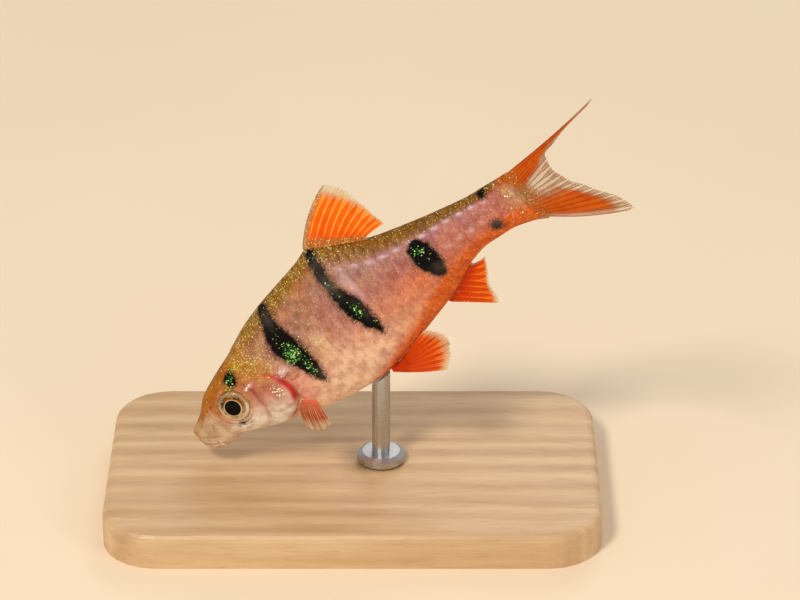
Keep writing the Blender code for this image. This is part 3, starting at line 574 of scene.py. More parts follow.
def mouth_relief(share, turn):
    """Lips along the closed mouth, and the shallow fold round them."""
    height = level_on_skin(share, turn)[0] * STANDARD_LENGTH / MM
    mouth_level = (BACK[0][1] - MOUTH_DROP * share) * STANDARD_LENGTH / MM
    past_corner = np.maximum(millimetres_from_snout(share - MOUTH_CORNER), 0)
    from_mouth = np.hypot(height - mouth_level, past_corner * 1.5)
    lip_width = 0.42 - 0.16 * ease(0, MOUTH_CORNER, share)
    lips = LIP_HEIGHT * bell(from_mouth - lip_width, 0.26) - MOUTH_DEPTH * bell(from_mouth, 0.10)
    return lips - LIP_FOLD_DEPTH * bell(from_mouth - 1.05, 0.2) * ease(0.09, 0.05, share)


def nostril_relief(share, turn):
    """Small pits with a raised rim."""
    lift = np.zeros(len(share))
    for at_share, at_turn, radius in NOSTRILS:
        away = np.hypot(millimetres_from_snout(share - at_share),
                        (turn - at_turn) * round_per_degree(share))
        lift += NOSTRIL_RIM_HEIGHT * bell(away - radius - 0.06, 0.09)
        lift -= NOSTRIL_DEPTH * ease(radius, radius * 0.5, away)
    return lift


def with_eye_socket(lift, share, points):
    """The lift with the ring of skin round each eye added, and the socket sunk under the eye."""
    middle, out = eye_place(-1)
    on_left = np.array(points)
    on_left[:, 1] = -np.abs(on_left[:, 1])
    offset = on_left - middle
    deep = offset @ out
    from_rim = np.sqrt(np.maximum((offset ** 2).sum(axis=1) - deep ** 2, 0)) / MM - EYE_RADIUS / MM
    ring = (EYE_RING_HEIGHT * bell(from_rim - 0.24, 0.16)
            - EYE_FOLD_DEPTH * bell(from_rim - 0.62, 0.14))
    behind = ease(-0.2, 0.3, (offset @ TAILWARD) / MM - (offset @ DORSAL) / MM * 0.6)
    ring -= CHEEK_FOLD_DEPTH * bell(from_rim - 1.0, 0.10) * behind
    on_head = share < HEAD_ENDS
    socket = -SOCKET_DEPTH * ease(SOCKET_SLACK, -0.1, from_rim)
    return np.where(on_head & (from_rim < SOCKET_SLACK), socket, lift + np.where(on_head, ring, 0))


def gill_cover_relief(share, turn):
    """Bones of the cheek and the gill cover, the folds below them, the throat and the nape."""
    gill = smooth_between(GILL_OPENING, turn)
    line = (share - smooth_between(PREOPERCLE, turn)) * STANDARD_LENGTH / MM
    window = ease(52, 66, turn) * ease(160, 146, turn)
    lift = window * (CHEEK_BONE_HEIGHT * bell(line + 0.22, 0.24)
                     - CHEEK_GROOVE_DEPTH * bell(line - 0.1, 0.16))
    cover = window * ease(0.1, 0.7, line) * ease(gill + 0.002, gill - 0.012, share)
    seam = millimetres_from_snout(share - 0.215) * 0.42 - (turn - 116) * 0.09
    ripple = (np.sin((turn - 90) * 0.55 + millimetres_from_snout(share) * 1.3)
              * bell(seam - 0.9, 0.8))
    lift += cover * (GILL_COVER_HEIGHT - GILL_COVER_SEAM_DEPTH * bell(seam, 0.09)
                     + GILL_COVER_RIPPLE * ripple)
    below_cover = ease(0.13, 0.16, share) * ease(gill, gill - 0.03, share)
    for ray in range(GILL_RAYS):
        lift += GILL_RAY_HEIGHT * bell((turn - 148 - 9 * ray) * 0.085, 0.14) * below_cover
    lift -= THROAT_DEPTH * ease(164, 176, turn) * ease(0.12, 0.16, share) * ease(0.22, 0.19, share)
    nape_edge = (ease(gill + 0.012, gill - 0.004, share) * ease(60, 48, turn)
                 * ease(0.17, 0.2, share))
    return lift + NAPE_EDGE_HEIGHT * nape_edge


def relief(share, turn, points):
    """Millimetres that the head's lips, folds and bones stand out, or in where negative."""
    turn = folded(turn)
    lift = with_eye_socket(mouth_relief(share, turn) + nostril_relief(share, turn), share, points)
    return (lift + gill_cover_relief(share, turn)) * ease(0, 0.003, share)


def new_piece(name, points, faces, material, attributes=None):
    """A mesh object from arrays, with its material and any three-part attributes on its points."""
    mesh = bpy.data.meshes.new(name)
    mesh.from_pydata(np.asarray(points).tolist(), [], [list(face) for face in faces])
    for key, parts in (attributes or {}).items():
        made = mesh.attributes.new(key, "FLOAT_VECTOR", "POINT")
        vectors = np.stack(np.broadcast_arrays(*parts), axis=-1)
        made.data.foreach_set("vector", vectors.astype(np.float32).ravel())
    mesh.shade_smooth()
    thing = bpy.data.objects.new(name, mesh)
    bpy.context.scene.collection.objects.link(thing)
    mesh.materials.append(material)
    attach(thing, "root")
    return thing


def tube_faces(rows, around):
    """Faces between rings of points, with a ring more than there are rows."""
    faces = []
    for row in range(rows):
        for i in range(around):
            a, b = row * around + i, row * around + (i + 1) % around
            faces.append((a, b, b + around, a + around))
    return faces


def skin_rings():
    """Share, turn and extra lift of every ring of the skin, with the gill flap folded under."""
    turn = np.arange(SKIN_AROUND) * 360 / SKIN_AROUND
    gill = smooth_between(GILL_OPENING, folded(turn))
    flap = ease(60, 74, folded(turn)) * ease(156, 138, folded(turn))
    rings = []
    for row in range(1, HEAD_ROWS + 1):
        done = row / HEAD_ROWS
        lift = GILL_EDGE_LIFT * flap * done ** GILL_EDGE_SHARPNESS
        rings.append(((gill - 0.001) * done ** HEAD_CROWDING, turn, lift))
    for behind, forward, lift in GILL_FOLD:
        rings.append((gill + behind - forward * flap, turn, lift * flap))
    start = gill + BEHIND_GILL_FOLD
    for row in range(BODY_ROWS + 1):
        share = start + (skin_end(turn) - start) * row / BODY_ROWS
        rings.append((share, turn, -BEHIND_GILL_SUNK * flap * ease(start + 0.007, start, share)))
    return rings


def onto_eye_rim(share, points):
    """Moves the skin's points nearest an eye's rim onto it, so that the rim is a clean circle."""
    moved = np.array(points)
    for side in (-1, 1):
        middle, out = eye_place(side)
        offset = moved - middle
        deep = offset @ out
        flat = offset - deep[:, None] * out
        away = np.linalg.norm(flat, axis=1)
        rim = EYE_RADIUS + SOCKET_SLACK * MM
        close = (np.abs(away - rim) < 0.045 * MM) & (np.abs(deep) < 1.2 * MM) & (share < HEAD_ENDS)
        moved[close] += flat[close] * (rim / away[close] - 1)[:, None]
    return moved


def feeler(share, turn, length, side):
    """Points and faces of a barbel, rooted in the lip and curling down and back."""
    root, out = skin(share, turn), skin_normal(share, turn)
    path = [root - out * BARBEL_SUNK]
    for step in range(1, BARBEL_STEPS + 1):
        reach = step / BARBEL_STEPS
        way = unit(out * (1.1 - 0.7 * reach) - DORSAL * 0.6 + TAILWARD * 0.75 * reach)
        path.append(path[-1] + way * (length + BARBEL_SUNK) / BARBEL_STEPS)
    path = np.array(path)
    along = unit(np.gradient(path, axis=0))
    lateral = unit(np.cross(along, DORSAL))
    other = np.cross(along, lateral)
    angle = (2 * math.pi * np.arange(BARBEL_SIDES) / BARBEL_SIDES)[None, :, None]
    radius = (BARBEL_RADIUS - BARBEL_TAPER * np.linspace(0, 1, BARBEL_STEPS + 1) ** 0.8) * MM
    around = np.cos(angle) * lateral[:, None] + np.sin(angle) * other[:, None]
    points = path[:, None] + radius[:, None, None] * around
    tip = path[-1:] + along[-1:] * (BARBEL_RADIUS - BARBEL_TAPER) * MM
    points = np.concatenate([points.reshape(-1, 3), tip])
    faces = tube_faces(BARBEL_STEPS, BARBEL_SIDES)
    last = BARBEL_STEPS * BARBEL_SIDES
    faces += [(last + i, last + (i + 1) % BARBEL_SIDES, len(points) - 1)
              for i in range(BARBEL_SIDES)]
    if side > 0:
        points = points * (1, -1, 1)
        faces = [face[::-1] for face in faces]
    return points, faces


def skin_faces(rows, pole):
    """Faces of the skin's rings, closed by a fan at the snout and a strip across the tail's end."""
    faces = tube_faces(rows - 1, SKIN_AROUND)
    faces += [(pole, (i + 1) % SKIN_AROUND, i) for i in range(SKIN_AROUND)]
    last = (rows - 1) * SKIN_AROUND
    for i in range(SKIN_AROUND // 2):
        across = (last + i, last + i + 1, last + SKIN_AROUND - i - 1,
                  last + (SKIN_AROUND - i) % SKIN_AROUND)
        faces.append(tuple(dict.fromkeys(across)))
    return faces


def make_skin(material):
    """The one skin of the whole fish, with the folds of its head and its feelers."""
    rings = skin_rings()
    share, turn, extra = (np.concatenate(parts) for parts in zip(*rings))
    base = onto_eye_rim(share, skin(share, turn))
    gill = smooth_between(GILL_OPENING, folded(turn))
    under_scales = SKIN_UNDER_SCALES / MM * ease(gill + 0.004, gill + 0.02, share)
    lift = relief(share, turn, base) + extra - under_scales
    points = base + skin_normal(share, turn) * lift[:, None] * MM
    faces = skin_faces(len(rings), len(points))
    points = np.concatenate([points, skin(np.array([0.0]), np.array([0.0]))])
    share = np.append(share, 0)
    turn = np.append(turn, 90)
    for at_share, at_turn, length in BARBELS:
        for side in (-1, 1):
            extra_points, extra_faces = feeler(at_share, at_turn, length, side)
            faces += [tuple(i + len(points) for i in face) for face in extra_faces]
            points = np.concatenate([points, extra_points])
            share = np.append(share, np.full(len(extra_points), at_share))
            turn = np.append(turn, np.full(len(extra_points), at_turn))
    piece = new_piece("fish_skin", points, faces, material, markings(share, turn))
    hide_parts("head", "torso", "tail", "gill_cover_left", "gill_cover_right")
    return piece


def scale_places():
    """Root of every scale on the left: share, millimetres round from the back, both pitches."""
    places = []
    share = FIRST_SCALES
    column = 0
    while share < 1 + TAIL_BASE_REACH:
        pitch = float(smooth_between(SCALE_PITCH, share))
        rows = float(smooth_between(ROW_PITCH, share))
        girth = round_at(np.array([share]))[0]
        shift = 0.5 if column % 2 else 0.0
        count = int(girth[-1] / rows) + 2
        for k in range(-count, count + 1):
            distance = girth[LATERAL_LINE] + (k + shift) * rows
            if not -0.1 * rows <= distance <= girth[-1] + 0.1 * rows:
                continue
            turn = float(folded(turn_from_round(np.array([share]), np.array([distance]))[0]))
            behind_gill = share - float(smooth_between(GILL_OPENING, turn))
            bare = BARE_BY_NAPE_AND_THROAT if turn < 62 or turn > 150 else BARE_BY_GILL
            by_fin = near_spot(share, turn, BARE_BY_FIN) > BARE_ABOVE
            if behind_gill > bare and not by_fin and share <= skin_end(turn) - BARE_TAIL_END:
                places.append((share, distance, pitch, rows))
        share += pitch / 2 * MM / STANDARD_LENGTH
        column += 1
    return np.array(places)


def scale_outline():
    """Points of one scale: u across it, v along it, and x and y in pitches from its root."""
    across = np.linspace(-1, 1, SCALE_ACROSS + 1)
    along = np.linspace(0, 1, SCALE_ALONG + 1) ** 0.8
    v, u = (part.ravel() for part in np.meshgrid(along, across, indexing="ij"))
    rear = np.sqrt(1 - 0.78 * u ** 2)
    x = -SCALE_ROOT + v * (SCALE_ROOT + 0.80 * rear) - 0.12 * (1 - rear)
    y = u * (0.62 + 0.30 * np.sin(math.pi * (0.15 + 0.62 * v)))
    return u, v, x, y


def scale_faces():
    """Faces of one scale's top, underside and rim; the underside's points come after the top's."""
    wide = SCALE_ACROSS + 1
    count = wide * (SCALE_ALONG + 1)
    faces = []
    for row in range(SCALE_ALONG):
        for i in range(SCALE_ACROSS):
            a = row * wide + i
            b, c, d = a + 1, a + wide + 1, a + wide
            faces.append((a, d, c, b))
            faces.append((count + a, count + b, count + c, count + d))
    rim = list(range(SCALE_ACROSS))
    rim += [row * wide + SCALE_ACROSS for row in range(SCALE_ALONG)]
    rim += [SCALE_ALONG * wide + SCALE_ACROSS - i for i in range(SCALE_ACROSS)]
    rim += [(SCALE_ALONG - row) * wide for row in range(SCALE_ALONG)]
    faces += [(a, b, count + b, count + a) for a, b in zip(rim, rim[1:] + rim[:1])]
    return np.array(faces)


def scale_by_scale(top, underside, count):
    """Each scale's values for its top and then its underside, one scale after another."""
    shape = (-1, count) + top.shape[1:]
    both = np.concatenate([top.reshape(shape), underside.reshape(shape)], axis=1)
    return both.reshape((-1,) + top.shape[1:])


def give_bake_map(piece, spots):
    """UV map for the bake, with a spot for each point."""
    bake_map = piece.data.uv_layers.new(name="OFBake")
    corners = np.empty(len(piece.data.loops), np.int32)
    piece.data.loops.foreach_get("vertex_index", corners)
    bake_map.uv.foreach_set("vector", np.clip(spots[corners], 0, 1).astype(np.float32).ravel())


def make_scales(material):
    """Thin overlapping plates on the skin, free edges towards the tail; a piece for each side."""
    places = scale_places()
    u, v, x, y = scale_outline()
    number, count = len(places), len(u)
    share = (places[:, 0, None] + x * places[:, 2, None] * MM / STANDARD_LENGTH).ravel()
    turn = turn_from_round(share, (places[:, 1, None] + y * places[:, 3, None]).ravel())
    share = np.minimum(share, skin_end(turn) - 0.0005)
    gill = smooth_between(GILL_OPENING, folded(turn))
    flatter = (0.1 + 0.9 * ease(gill + 0.03, gill + 0.12, share)).reshape(number, count)
    height = (SCALE_GAP + SCALE_RISE * (x + SCALE_ROOT) * flatter
              + SCALE_CROWN * (1 - u ** 2) * flatter)
    height = (height - SCALE_RIM_DROP * (v > 0.99)).ravel() - SKIN_UNDER_SCALES / MM
    root_turn = turn_from_round(places[:, 0], places[:, 1])
    place_u = places[:, 0, None] + (np.tile(x, 2) - 0.2) * SCALE_PATCH / 1.4
    place_v = (root_turn / 360)[:, None] % 1 + np.tile(y, 2) * SCALE_PATCH / 2
    from_free_edge = np.tile(1 - v, 2 * number)
    own_number = np.repeat(np.arange(number) * SCALE_NUMBERING % 1, 2 * count)
    starts = (np.arange(number) * 2 * count)[:, None, None]
    for name, side in (("scales_left", -1), ("scales_right", 1)):
        side_turn = turn if side < 0 else -turn
        base, out = skin(share, side_turn), skin_normal(share, side_turn)
        top = base + out * (height * MM)[:, None]
        underside = base + out * ((height - SCALE_THICKNESS) * MM)[:, None]
        faces = scale_faces() if side < 0 else scale_faces()[:, ::-1]
        marks = {key: [scale_by_scale(part, part, count) for part in parts]
                 for key, parts in markings(share, side_turn).items()}
        marks["scale_place"] = (from_free_edge, own_number, own_number)
        piece = new_piece(name, scale_by_scale(top, underside, count),
                          (faces + starts).reshape(-1, 4), material, marks)
        give_bake_map(piece, np.stack([place_u, place_v], axis=-1).reshape(-1, 2))


def ray_ridges(phase, reach, first_split, second_split, root_width, spread=0.24):
    """How much each point is on a ray; phase counts rays, so whole numbers are their middles."""
    off = phase - np.round(phase)
    one = spread * ease(first_split, 1.1, reach)
    two = spread * 0.5 * ease(second_split, 1.1, reach)
    width = root_width * (1 - 0.55 * ease(0.05, 0.75, reach))
    on = np.zeros(np.broadcast(phase, reach).shape)
    for half in (-1, 1):
        for quarter in (-1, 1):
            on = np.maximum(on, bell(off - half * one - quarter * two, width))
    return on


def sheet_faces(rows, wide):
    """Faces of a closed sheet: outer side, inner side and rim; the inner points come second."""
    count = wide * (rows + 1)
    a = (np.arange(rows)[:, None] * wide + np.arange(wide - 1)[None]).ravel()
    outer = np.stack([a, a + 1, a + wide + 1, a + wide], axis=1)
    inner = np.stack([a, a + wide, a + wide + 1, a + 1], axis=1) + count
    rim = np.concatenate([np.arange(wide - 1), np.arange(rows) * wide + wide - 1,
                          rows * wide + np.arange(wide - 1, 0, -1), np.arange(rows, 0, -1) * wide])
    following = np.roll(rim, -1)
    edge = np.stack([following, rim, rim + count, following + count], axis=1)
    return np.concatenate([outer, inner, edge])


def fin_mesh(name, material, edges, phases, tint, replaced, rows, ray_half, ray_width=0.15,
             soft_edge=0.05, splits=(0.38, 0.68), root_rows=3):
    """Closed fin sheet, thickened along its rays, with its colours on its points.

    The edges are the points sunk in the body, the roots on the skin, the tips, and each ray's bow.
    """
    sunk, roots, tips, bows = edges
    reach = np.linspace(0, 1, rows + 1)[:, None]
    phase = phases[None, :]
    on = ray_ridges(phase, reach, *splits, ray_width)
    ripple = 0.5 + 0.5 * np.sin(phases * TIP_PACES[0]) * np.cos(phases * TIP_PACES[1])
    trim = 1 - soft_edge * (1 - on[-1:] * 0.9) - TIP_RIPPLE * ripple[None, :]
    stretched = reach * trim
    middle = (roots[None] + (tips - roots)[None] * stretched[..., None]
              + bows[None] * (4 * stretched * (1 - stretched))[..., None])
    buried = sunk[None] + (roots - sunk)[None] * (np.arange(root_rows) / root_rows)[:, None, None]
    middle = np.concatenate([buried, middle])
    reach = np.concatenate([np.zeros((root_rows, 1)), reach])
    on = np.concatenate([np.repeat(on[:1], root_rows, axis=0), on])
    rows += root_rows
    aside = unit(np.cross(np.gradient(middle, axis=0), np.gradient(middle, axis=1)))
    flutter = np.sin(phases * FLUTTER_PACE + 0.6)[None, :]
    flutter = FIN_FLUTTER * flutter * ease(0.35, 1.0, reach)
    middle = middle + aside * flutter[..., None]
    joints = 1 + RAY_JOINTS * np.sin(reach * rows * 2.1) * ease(0.3, 0.5, reach)
    half = (WEB_HALF * (1 - 0.5 * reach)
            + ray_half * on * joints * (1 - 0.78 * ease(0.0, 1.0, reach)))
    outer = middle + aside * half[..., None]
    inner = middle - aside * half[..., None]
    faces = sheet_faces(rows, len(phases))
    facing = np.cross(outer[1, 2] - outer[1, 1], outer[2, 1] - outer[1, 1])
    if (outer[1, 1] - middle[1, 1]) @ facing < 0:
        faces = faces[:, ::-1]

    def both_sides(part):
        """The values of the outer side's points, then the same for the inner side's."""
        return np.concatenate([np.broadcast_to(part, on.shape).ravel()] * 2)

    tints = tint(np.broadcast_to(phase / phases[-1], on.shape), np.broadcast_to(reach, on.shape))
    points = np.concatenate([outer.reshape(-1, 3), inner.reshape(-1, 3)])
    piece = new_piece(name + "_film", points, faces, material, {
        "fin_place": (both_sides(phase), both_sides(reach), both_sides(on)),
        "fin_tints": tuple(both_sides(part) for part in tints)})
    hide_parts(*replaced)
    return piece


def fin_phases(rays, columns=12):
    """Places across a fin, counted in rays."""
    return np.linspace(0, rays - 1, (rays - 1) * columns + 1)


def first_to_last(pair, along):
    """Value between a pair's two, as along goes from 0 to 1."""
    return pair[0] + (pair[1] - pair[0]) * along


def make_median_fin(name, material, fin, tint):
    """Dorsal or anal fin, standing in the fish's middle plane."""
    phases = fin_phases(fin["rays"])
    along = phases / phases[-1]
    share = first_to_last(fin["shares"], along)
    base, out = skin(share, fin["turn"]), skin_normal(share, fin["turn"])
    tailward = directions(share)[0]
    angle = np.radians(smooth_between(fin["lean"], along))[:, None]
    reach = (smooth_between(fin["length"], along) * STANDARD_LENGTH)[:, None]
    way = tailward * np.cos(angle) + DORSAL * np.sin(angle)
    forward = (DORSAL * np.cos(angle) - tailward * np.sin(angle)) * (1 if fin["turn"] == 0 else -1)
    bow = forward * first_to_last(fin["bows"], along)[:, None] * reach
    roots = base + out * FIN_GAP
    edges = (base - out * FIN_SUNK, roots, roots + way * reach, bow)
    return fin_mesh(name, material, edges, phases, tint, (name,), **fin["sheet"])


def tail_stalk_edge(share, span, place):
    """Points down the tail stalk's middle plane, over a span of its height, 1 at the top."""
    top, bottom = (float(rounded_at_snout(knots, np.array(share))) for knots in (BACK, BELLY))
    level = (top + bottom) / 2 + place * span * (top - bottom) / 2
    return spine(np.array(share)) + DORSAL * (level * STANDARD_LENGTH)[:, None]


def make_tail_fin(material):
    """The whole tail fin, both lobes and the short middle rays, in one sheet."""
    phases = fin_phases(TAIL_RAYS)
    place = 1 - 2 * phases / phases[-1]
    tailward, left = directions(np.array(1.0))
    lean = np.radians(smooth_between(TAIL_RAY_LEAN, place))[:, None]
    swing = np.radians(smooth_between(TAIL_RAY_SWING, place))[:, None]
    reach = (smooth_between(TAIL_RAY_LENGTH, place) * STANDARD_LENGTH)[:, None]
    way = (tailward * np.cos(swing) + left * np.sin(swing)) * np.cos(lean) + DORSAL * np.sin(lean)
    sunk = tail_stalk_edge(TAIL_FIN_FROM, TAIL_SUNK_SPAN, place)
    roots = tail_stalk_edge(1.0, TAIL_ROOT_SPAN, place) + tailward * FIN_GAP
    bow = -DORSAL * smooth_between(TAIL_RAY_DROOP, place)[:, None] * reach
    return fin_mesh("tail_fin", material, (sunk, roots, roots + way * reach, bow), phases,
                    tail_tint, ("tail_fin_upper", "tail_fin_lower"), **TAIL_SHEET)


def make_paired_fin(name, material, side, fin, tint):
    """Pectoral or pelvic fin; side is -1 on the left and 1 on the right."""
    phases = fin_phases(fin["rays"], 10)
    along = phases / phases[-1]
    first, middle, last = (unit(np.array(way)) for way in fin["ways"])
    forward = unit(first - middle)
    share = first_to_last(fin["shares"], along)
    turn = first_to_last(fin["turns"], along)
    tailward, left = directions(share)
    base, out = skin(share, turn), skin_normal(share, turn)
    early = np.minimum(along * 2, 1)[:, None]
    late = np.maximum(along * 2 - 1, 0)[:, None]
    mix = first * (1 - early) + middle * (early - late) + last * late
    way = unit(tailward * mix[:, :1] + left * mix[:, 1:2] + DORSAL * mix[:, 2:])
    front = tailward * forward[0] + left * forward[1] + DORSAL * forward[2]
    reach = (smooth_between(fin["length"], along) * STANDARD_LENGTH)[:, None]
    bow = front * first_to_last(fin["bows"], along)[:, None] * reach
    roots = base + out * (PAIRED_FIN_GAP * (1 - 0.8 * along))[:, None]
    mirror = np.array((1, -side, 1))
    edges = [edge * mirror for edge in (base - out * FIN_SUNK, roots, roots + way * reach, bow)]
    return fin_mesh(name, material, edges, phases, tint, (name,), **fin["sheet"])


def dorsal_tint(along, reach):
    """Orange, clear and dusty shares; along is 0 at the first ray and 1 at the last."""
    margin = 0.76 + 0.13 * ease(0.1, 0.8, along)
    clear = ease(margin, margin + 0.2, reach)
    front = ease(0.075, 0.03, along)
    dusty = np.maximum(front * 0.9, ease(0.17, 0.04, reach) * 0.85)
    return 1 - clear, np.maximum(clear, 0.45 * front), dusty


def anal_tint(along, reach):
    """Orange to the rim, clear only at its edge and along the last ray."""
    clear = np.maximum(ease(0.86, 1.0, reach), 0.5 * ease(0.93, 1.0, along))
    dusty = np.maximum(ease(0.04, 0.0, along) * 0.4, ease(0.06, 0.0, reach) * 0.15)
    return 1 - clear, clear, dusty


def pelvic_tint(along, reach):
    """Orange with a clear fringe."""
    clear = 0.9 * ease(0.8, 1.04, reach)
    return 1 - clear, clear, ease(0.04, 0.0, along) * 0.3


def pectoral_tint(along, reach):
    """A little clear all over, and clearer towards the tips and along the first ray."""
    clear = np.maximum(0.85 * ease(0.62, 1.02, reach), 0.25 * ease(0.1, 0.02, along))
    return 1 - clear, np.maximum(clear, 0.1), ease(0.05, 0.0, along) * 0.2


def tail_tint(along, reach):
    """Orange lobes, a clear middle and clear tips; along runs from the upper edge to the lower."""
    place = 1 - 2 * along
    upper = ease(0.22, 0.42, place)
    lower = ease(0.06, -0.5, place)
    middle = 1 - np.maximum(upper, lower)
    clear = upper * 0.6 * ease(0.6, 0.86, reach)
    clear += lower * ease(0.74, 0.96, reach + 0.16 * ease(-0.6, -0.2, place))
    clear += middle * (0.3 + 0.6 * ease(0.05, 0.35, reach)) + 0.6 * ease(-0.84, -0.98, place)
    orange = 1 - clear + 0.3 * middle * ease(0.35, 0.05, reach)
    dusty = 0.6 * ease(0.97, 1.0, place) + 0.3 * middle + 0.4 * ease(0.11, 0.0, reach)
    return tuple(np.clip(part, 0, 1) for part in (orange, clear, dusty))


def make_eye(name, side, material):
    """Eyeball set in the skin: a low dome with the pupil's lens standing out in the middle."""
    middle, out = eye_place(side)
    up = unit(DORSAL - out * (DORSAL @ out))
    ahead = unit(-TAILWARD - out * (-TAILWARD @ out) - up * (-TAILWARD @ up))
    radius = np.linspace(0, 1, EYE_RINGS + 1)[1:]
    dome = -EYE_RIM_SUNK + (EYE_DOME + EYE_RIM_SUNK) * np.sqrt(1 - radius ** 2)
    dome += LENS_RISE * ease(0.56, 0.3, radius) - IRIS_DIP * bell(radius - 0.66, 0.12)
    profile = list(zip(radius, dome))
    profile += [(math.cos(a), -EYE_RIM_SUNK - EYE_BACK * math.sin(a))
                for a in np.linspace(0, math.pi / 2, 9)[1:-1]]
    points, tags = [middle + out * (EYE_DOME + LENS_RISE)], [(0, 0, 0)]
    for r, z in profile:
        for a in 2 * math.pi * np.arange(EYE_SPOKES) / EYE_SPOKES:
            points.append(middle + (ahead * math.cos(a) + up * math.sin(a)) * r * EYE_RADIUS
                          + out * z)
            tags.append((r, math.sin(a) * r, math.cos(a) * r))
    points.append(middle - out * (EYE_RIM_SUNK + EYE_BACK))
    tags.append((1, 0, 0))
    faces = [(0, 1 + i, 1 + (i + 1) % EYE_SPOKES) for i in range(EYE_SPOKES)]
    for ring in range(len(profile) - 1):
        start = 1 + ring * EYE_SPOKES
        for i in range(EYE_SPOKES):
            a, b = start + i, start + (i + 1) % EYE_SPOKES
            faces.append((a, a + EYE_SPOKES, b + EYE_SPOKES, b))
    last = 1 + (len(profile) - 1) * EYE_SPOKES
    faces += [(last + (i + 1) % EYE_SPOKES, last + i, len(points) - 1) for i in range(EYE_SPOKES)]
    if np.cross(ahead, up) @ out < 0:
        faces = [face[::-1] for face in faces]
    piece = new_piece(name + "_glass", points, faces, material,
                      {"eye_place": tuple(np.array(tags).T)})
    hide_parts(name)
    return piece


def feed(tree, socket, value):
    """Gives a socket a number, a colour or another node's output."""
    if isinstance(value, bpy.types.NodeSocket):
        tree.links.new(value, socket)
    else:
        socket.default_value = value


def maths(tree, operation, *values):
    """One step of arithmetic on numbers or other nodes' outputs."""
    node = tree.nodes.new("ShaderNodeMath")
    node.operation = operation
    for socket, value in zip(node.inputs, values):
        feed(tree, socket, value)
    return node.outputs[0]


def between(tree, value, low, high, out_low=0.0, out_high=1.0):
    """Smooth rise from out_low to out_high as the value goes from low to high."""
    node = tree.nodes.new("ShaderNodeMapRange")
    node.interpolation_type = "SMOOTHSTEP"
    for socket, given in zip(node.inputs, (value, low, high, out_low, out_high)):
        feed(tree, socket, given)
    return node.outputs[0]


def mixed(tree, share, under, over, way="MIX"):
    """Colour under with colour over laid on it by a share."""
    node = tree.nodes.new("ShaderNodeMix")
    node.data_type = "RGBA"
    node.blend_type = way
    feed(tree, node.inputs[0], share)
    feed(tree, node.inputs[6], under)
    feed(tree, node.inputs[7], over)
    return node.outputs[2]


def layer(tree, colour, share, over, most=1.0, way="MIX"):
    """The colour with another laid on it by a share, scaled down to most at its strongest."""
    if most != 1.0:
        share = maths(tree, "MULTIPLY", share, most)
    return mixed(tree, share, colour, over, way)


def wave(tree, value, pace):
    """0 to 1 and back, over and over as the value goes on."""
    swing = maths(tree, "SINE", maths(tree, "MULTIPLY", value, pace))
    return maths(tree, "MULTIPLY_ADD", swing, 0.5, 0.5)


def band(tree, value, rise, fall):
    """1 between a rise and a fall, each given by where it starts and ends."""
    return maths(tree, "MULTIPLY", between(tree, value, *rise), between(tree, value, *fall))


def parts_of(tree, name):
    """The three parts of a mesh attribute."""
    source = tree.nodes.new("ShaderNodeAttribute")
    source.attribute_name = name
    split = tree.nodes.new("ShaderNodeSeparateXYZ")
    tree.links.new(source.outputs["Vector"], split.inputs[0])
    return split.outputs[0], split.outputs[1], split.outputs[2]


def noise(tree, place, size, detail=2.0, roughness=0.5):
    """Cloudy noise whose patches are about size millimetres across."""
    node = tree.nodes.new("ShaderNodeTexNoise")
    feed(tree, node.inputs["Vector"], place)
    feed(tree, node.inputs["Scale"], 1000 / size)
    feed(tree, node.inputs["Detail"], detail)
    feed(tree, node.inputs["Roughness"], roughness)
    return node.outputs[0]


def here(tree):
    """Place on the piece, in its own metres."""
    return tree.nodes.new("ShaderNodeTexCoord").outputs["Object"]


def stretched(tree, scale):
    """Place on the piece with each axis drawn out, for grain and scratches that run one way."""
    node = tree.nodes.new("ShaderNodeMapping")
    tree.links.new(here(tree), node.inputs["Vector"])
    node.inputs["Scale"].default_value = scale
    return node.outputs[0]


# Kinds of socket that the groups have
NUMBER = "NodeSocketFloat"
PLACE_SOCKET = ("Place", "NodeSocketVector", None)


def new_group(name, inputs, outputs):
    """Empty shader node group with named sockets; inputs are (name, kind, value)."""
    group = bpy.data.node_groups.new(name, "ShaderNodeTree")
    for socket, kind, value in inputs:
        made = group.interface.new_socket(socket, in_out="INPUT", socket_type=kind)
        if value is not None:
            made.default_value = value
    for socket, kind in outputs:
        group.interface.new_socket(socket, in_out="OUTPUT", socket_type=kind)
    given = group.nodes.new("NodeGroupInput").outputs
    return group, given, group.nodes.new("NodeGroupOutput").inputs


def placed(tree, group, **values):
    """The group set into a material, with its inputs given by name."""
    node = tree.nodes.new("ShaderNodeGroup")
    node.node_tree = group
    for name, value in values.items():
        feed(tree, node.inputs[name.replace("_", " ").capitalize()], value)
    return node.outputs


def flake_cells(tree, place, size, shift):
    """Cells about size millimetres across: how far out a point is, and two random numbers."""
    bent = tree.nodes.new("ShaderNodeVectorMath")
    bent.operation = "MULTIPLY_ADD"
    scale = maths(tree, "DIVIDE", 1000.0, size)
    for socket, value in zip(bent.inputs, (place, scale, maths(tree, "ADD", shift, 0.0))):
        tree.links.new(value, socket)
    cells = tree.nodes.new("ShaderNodeTexVoronoi")
    tree.links.new(bent.outputs[0], cells.inputs["Vector"])
    cells.inputs["Scale"].default_value = 1.0
    split = tree.nodes.new("ShaderNodeSeparateColor")
    tree.links.new(cells.outputs["Color"], split.inputs[0])
    return cells.outputs["Distance"], split.outputs[0], split.outputs[1]


def flake_mask(tree, amount, random, cells, rim):
    """Round flakes in the cells whose random number is below the amount."""
    lit = between(tree, maths(tree, "SUBTRACT", amount, random), -0.02, 0.04)
    return maths(tree, "MULTIPLY", lit, between(tree, cells, *rim))


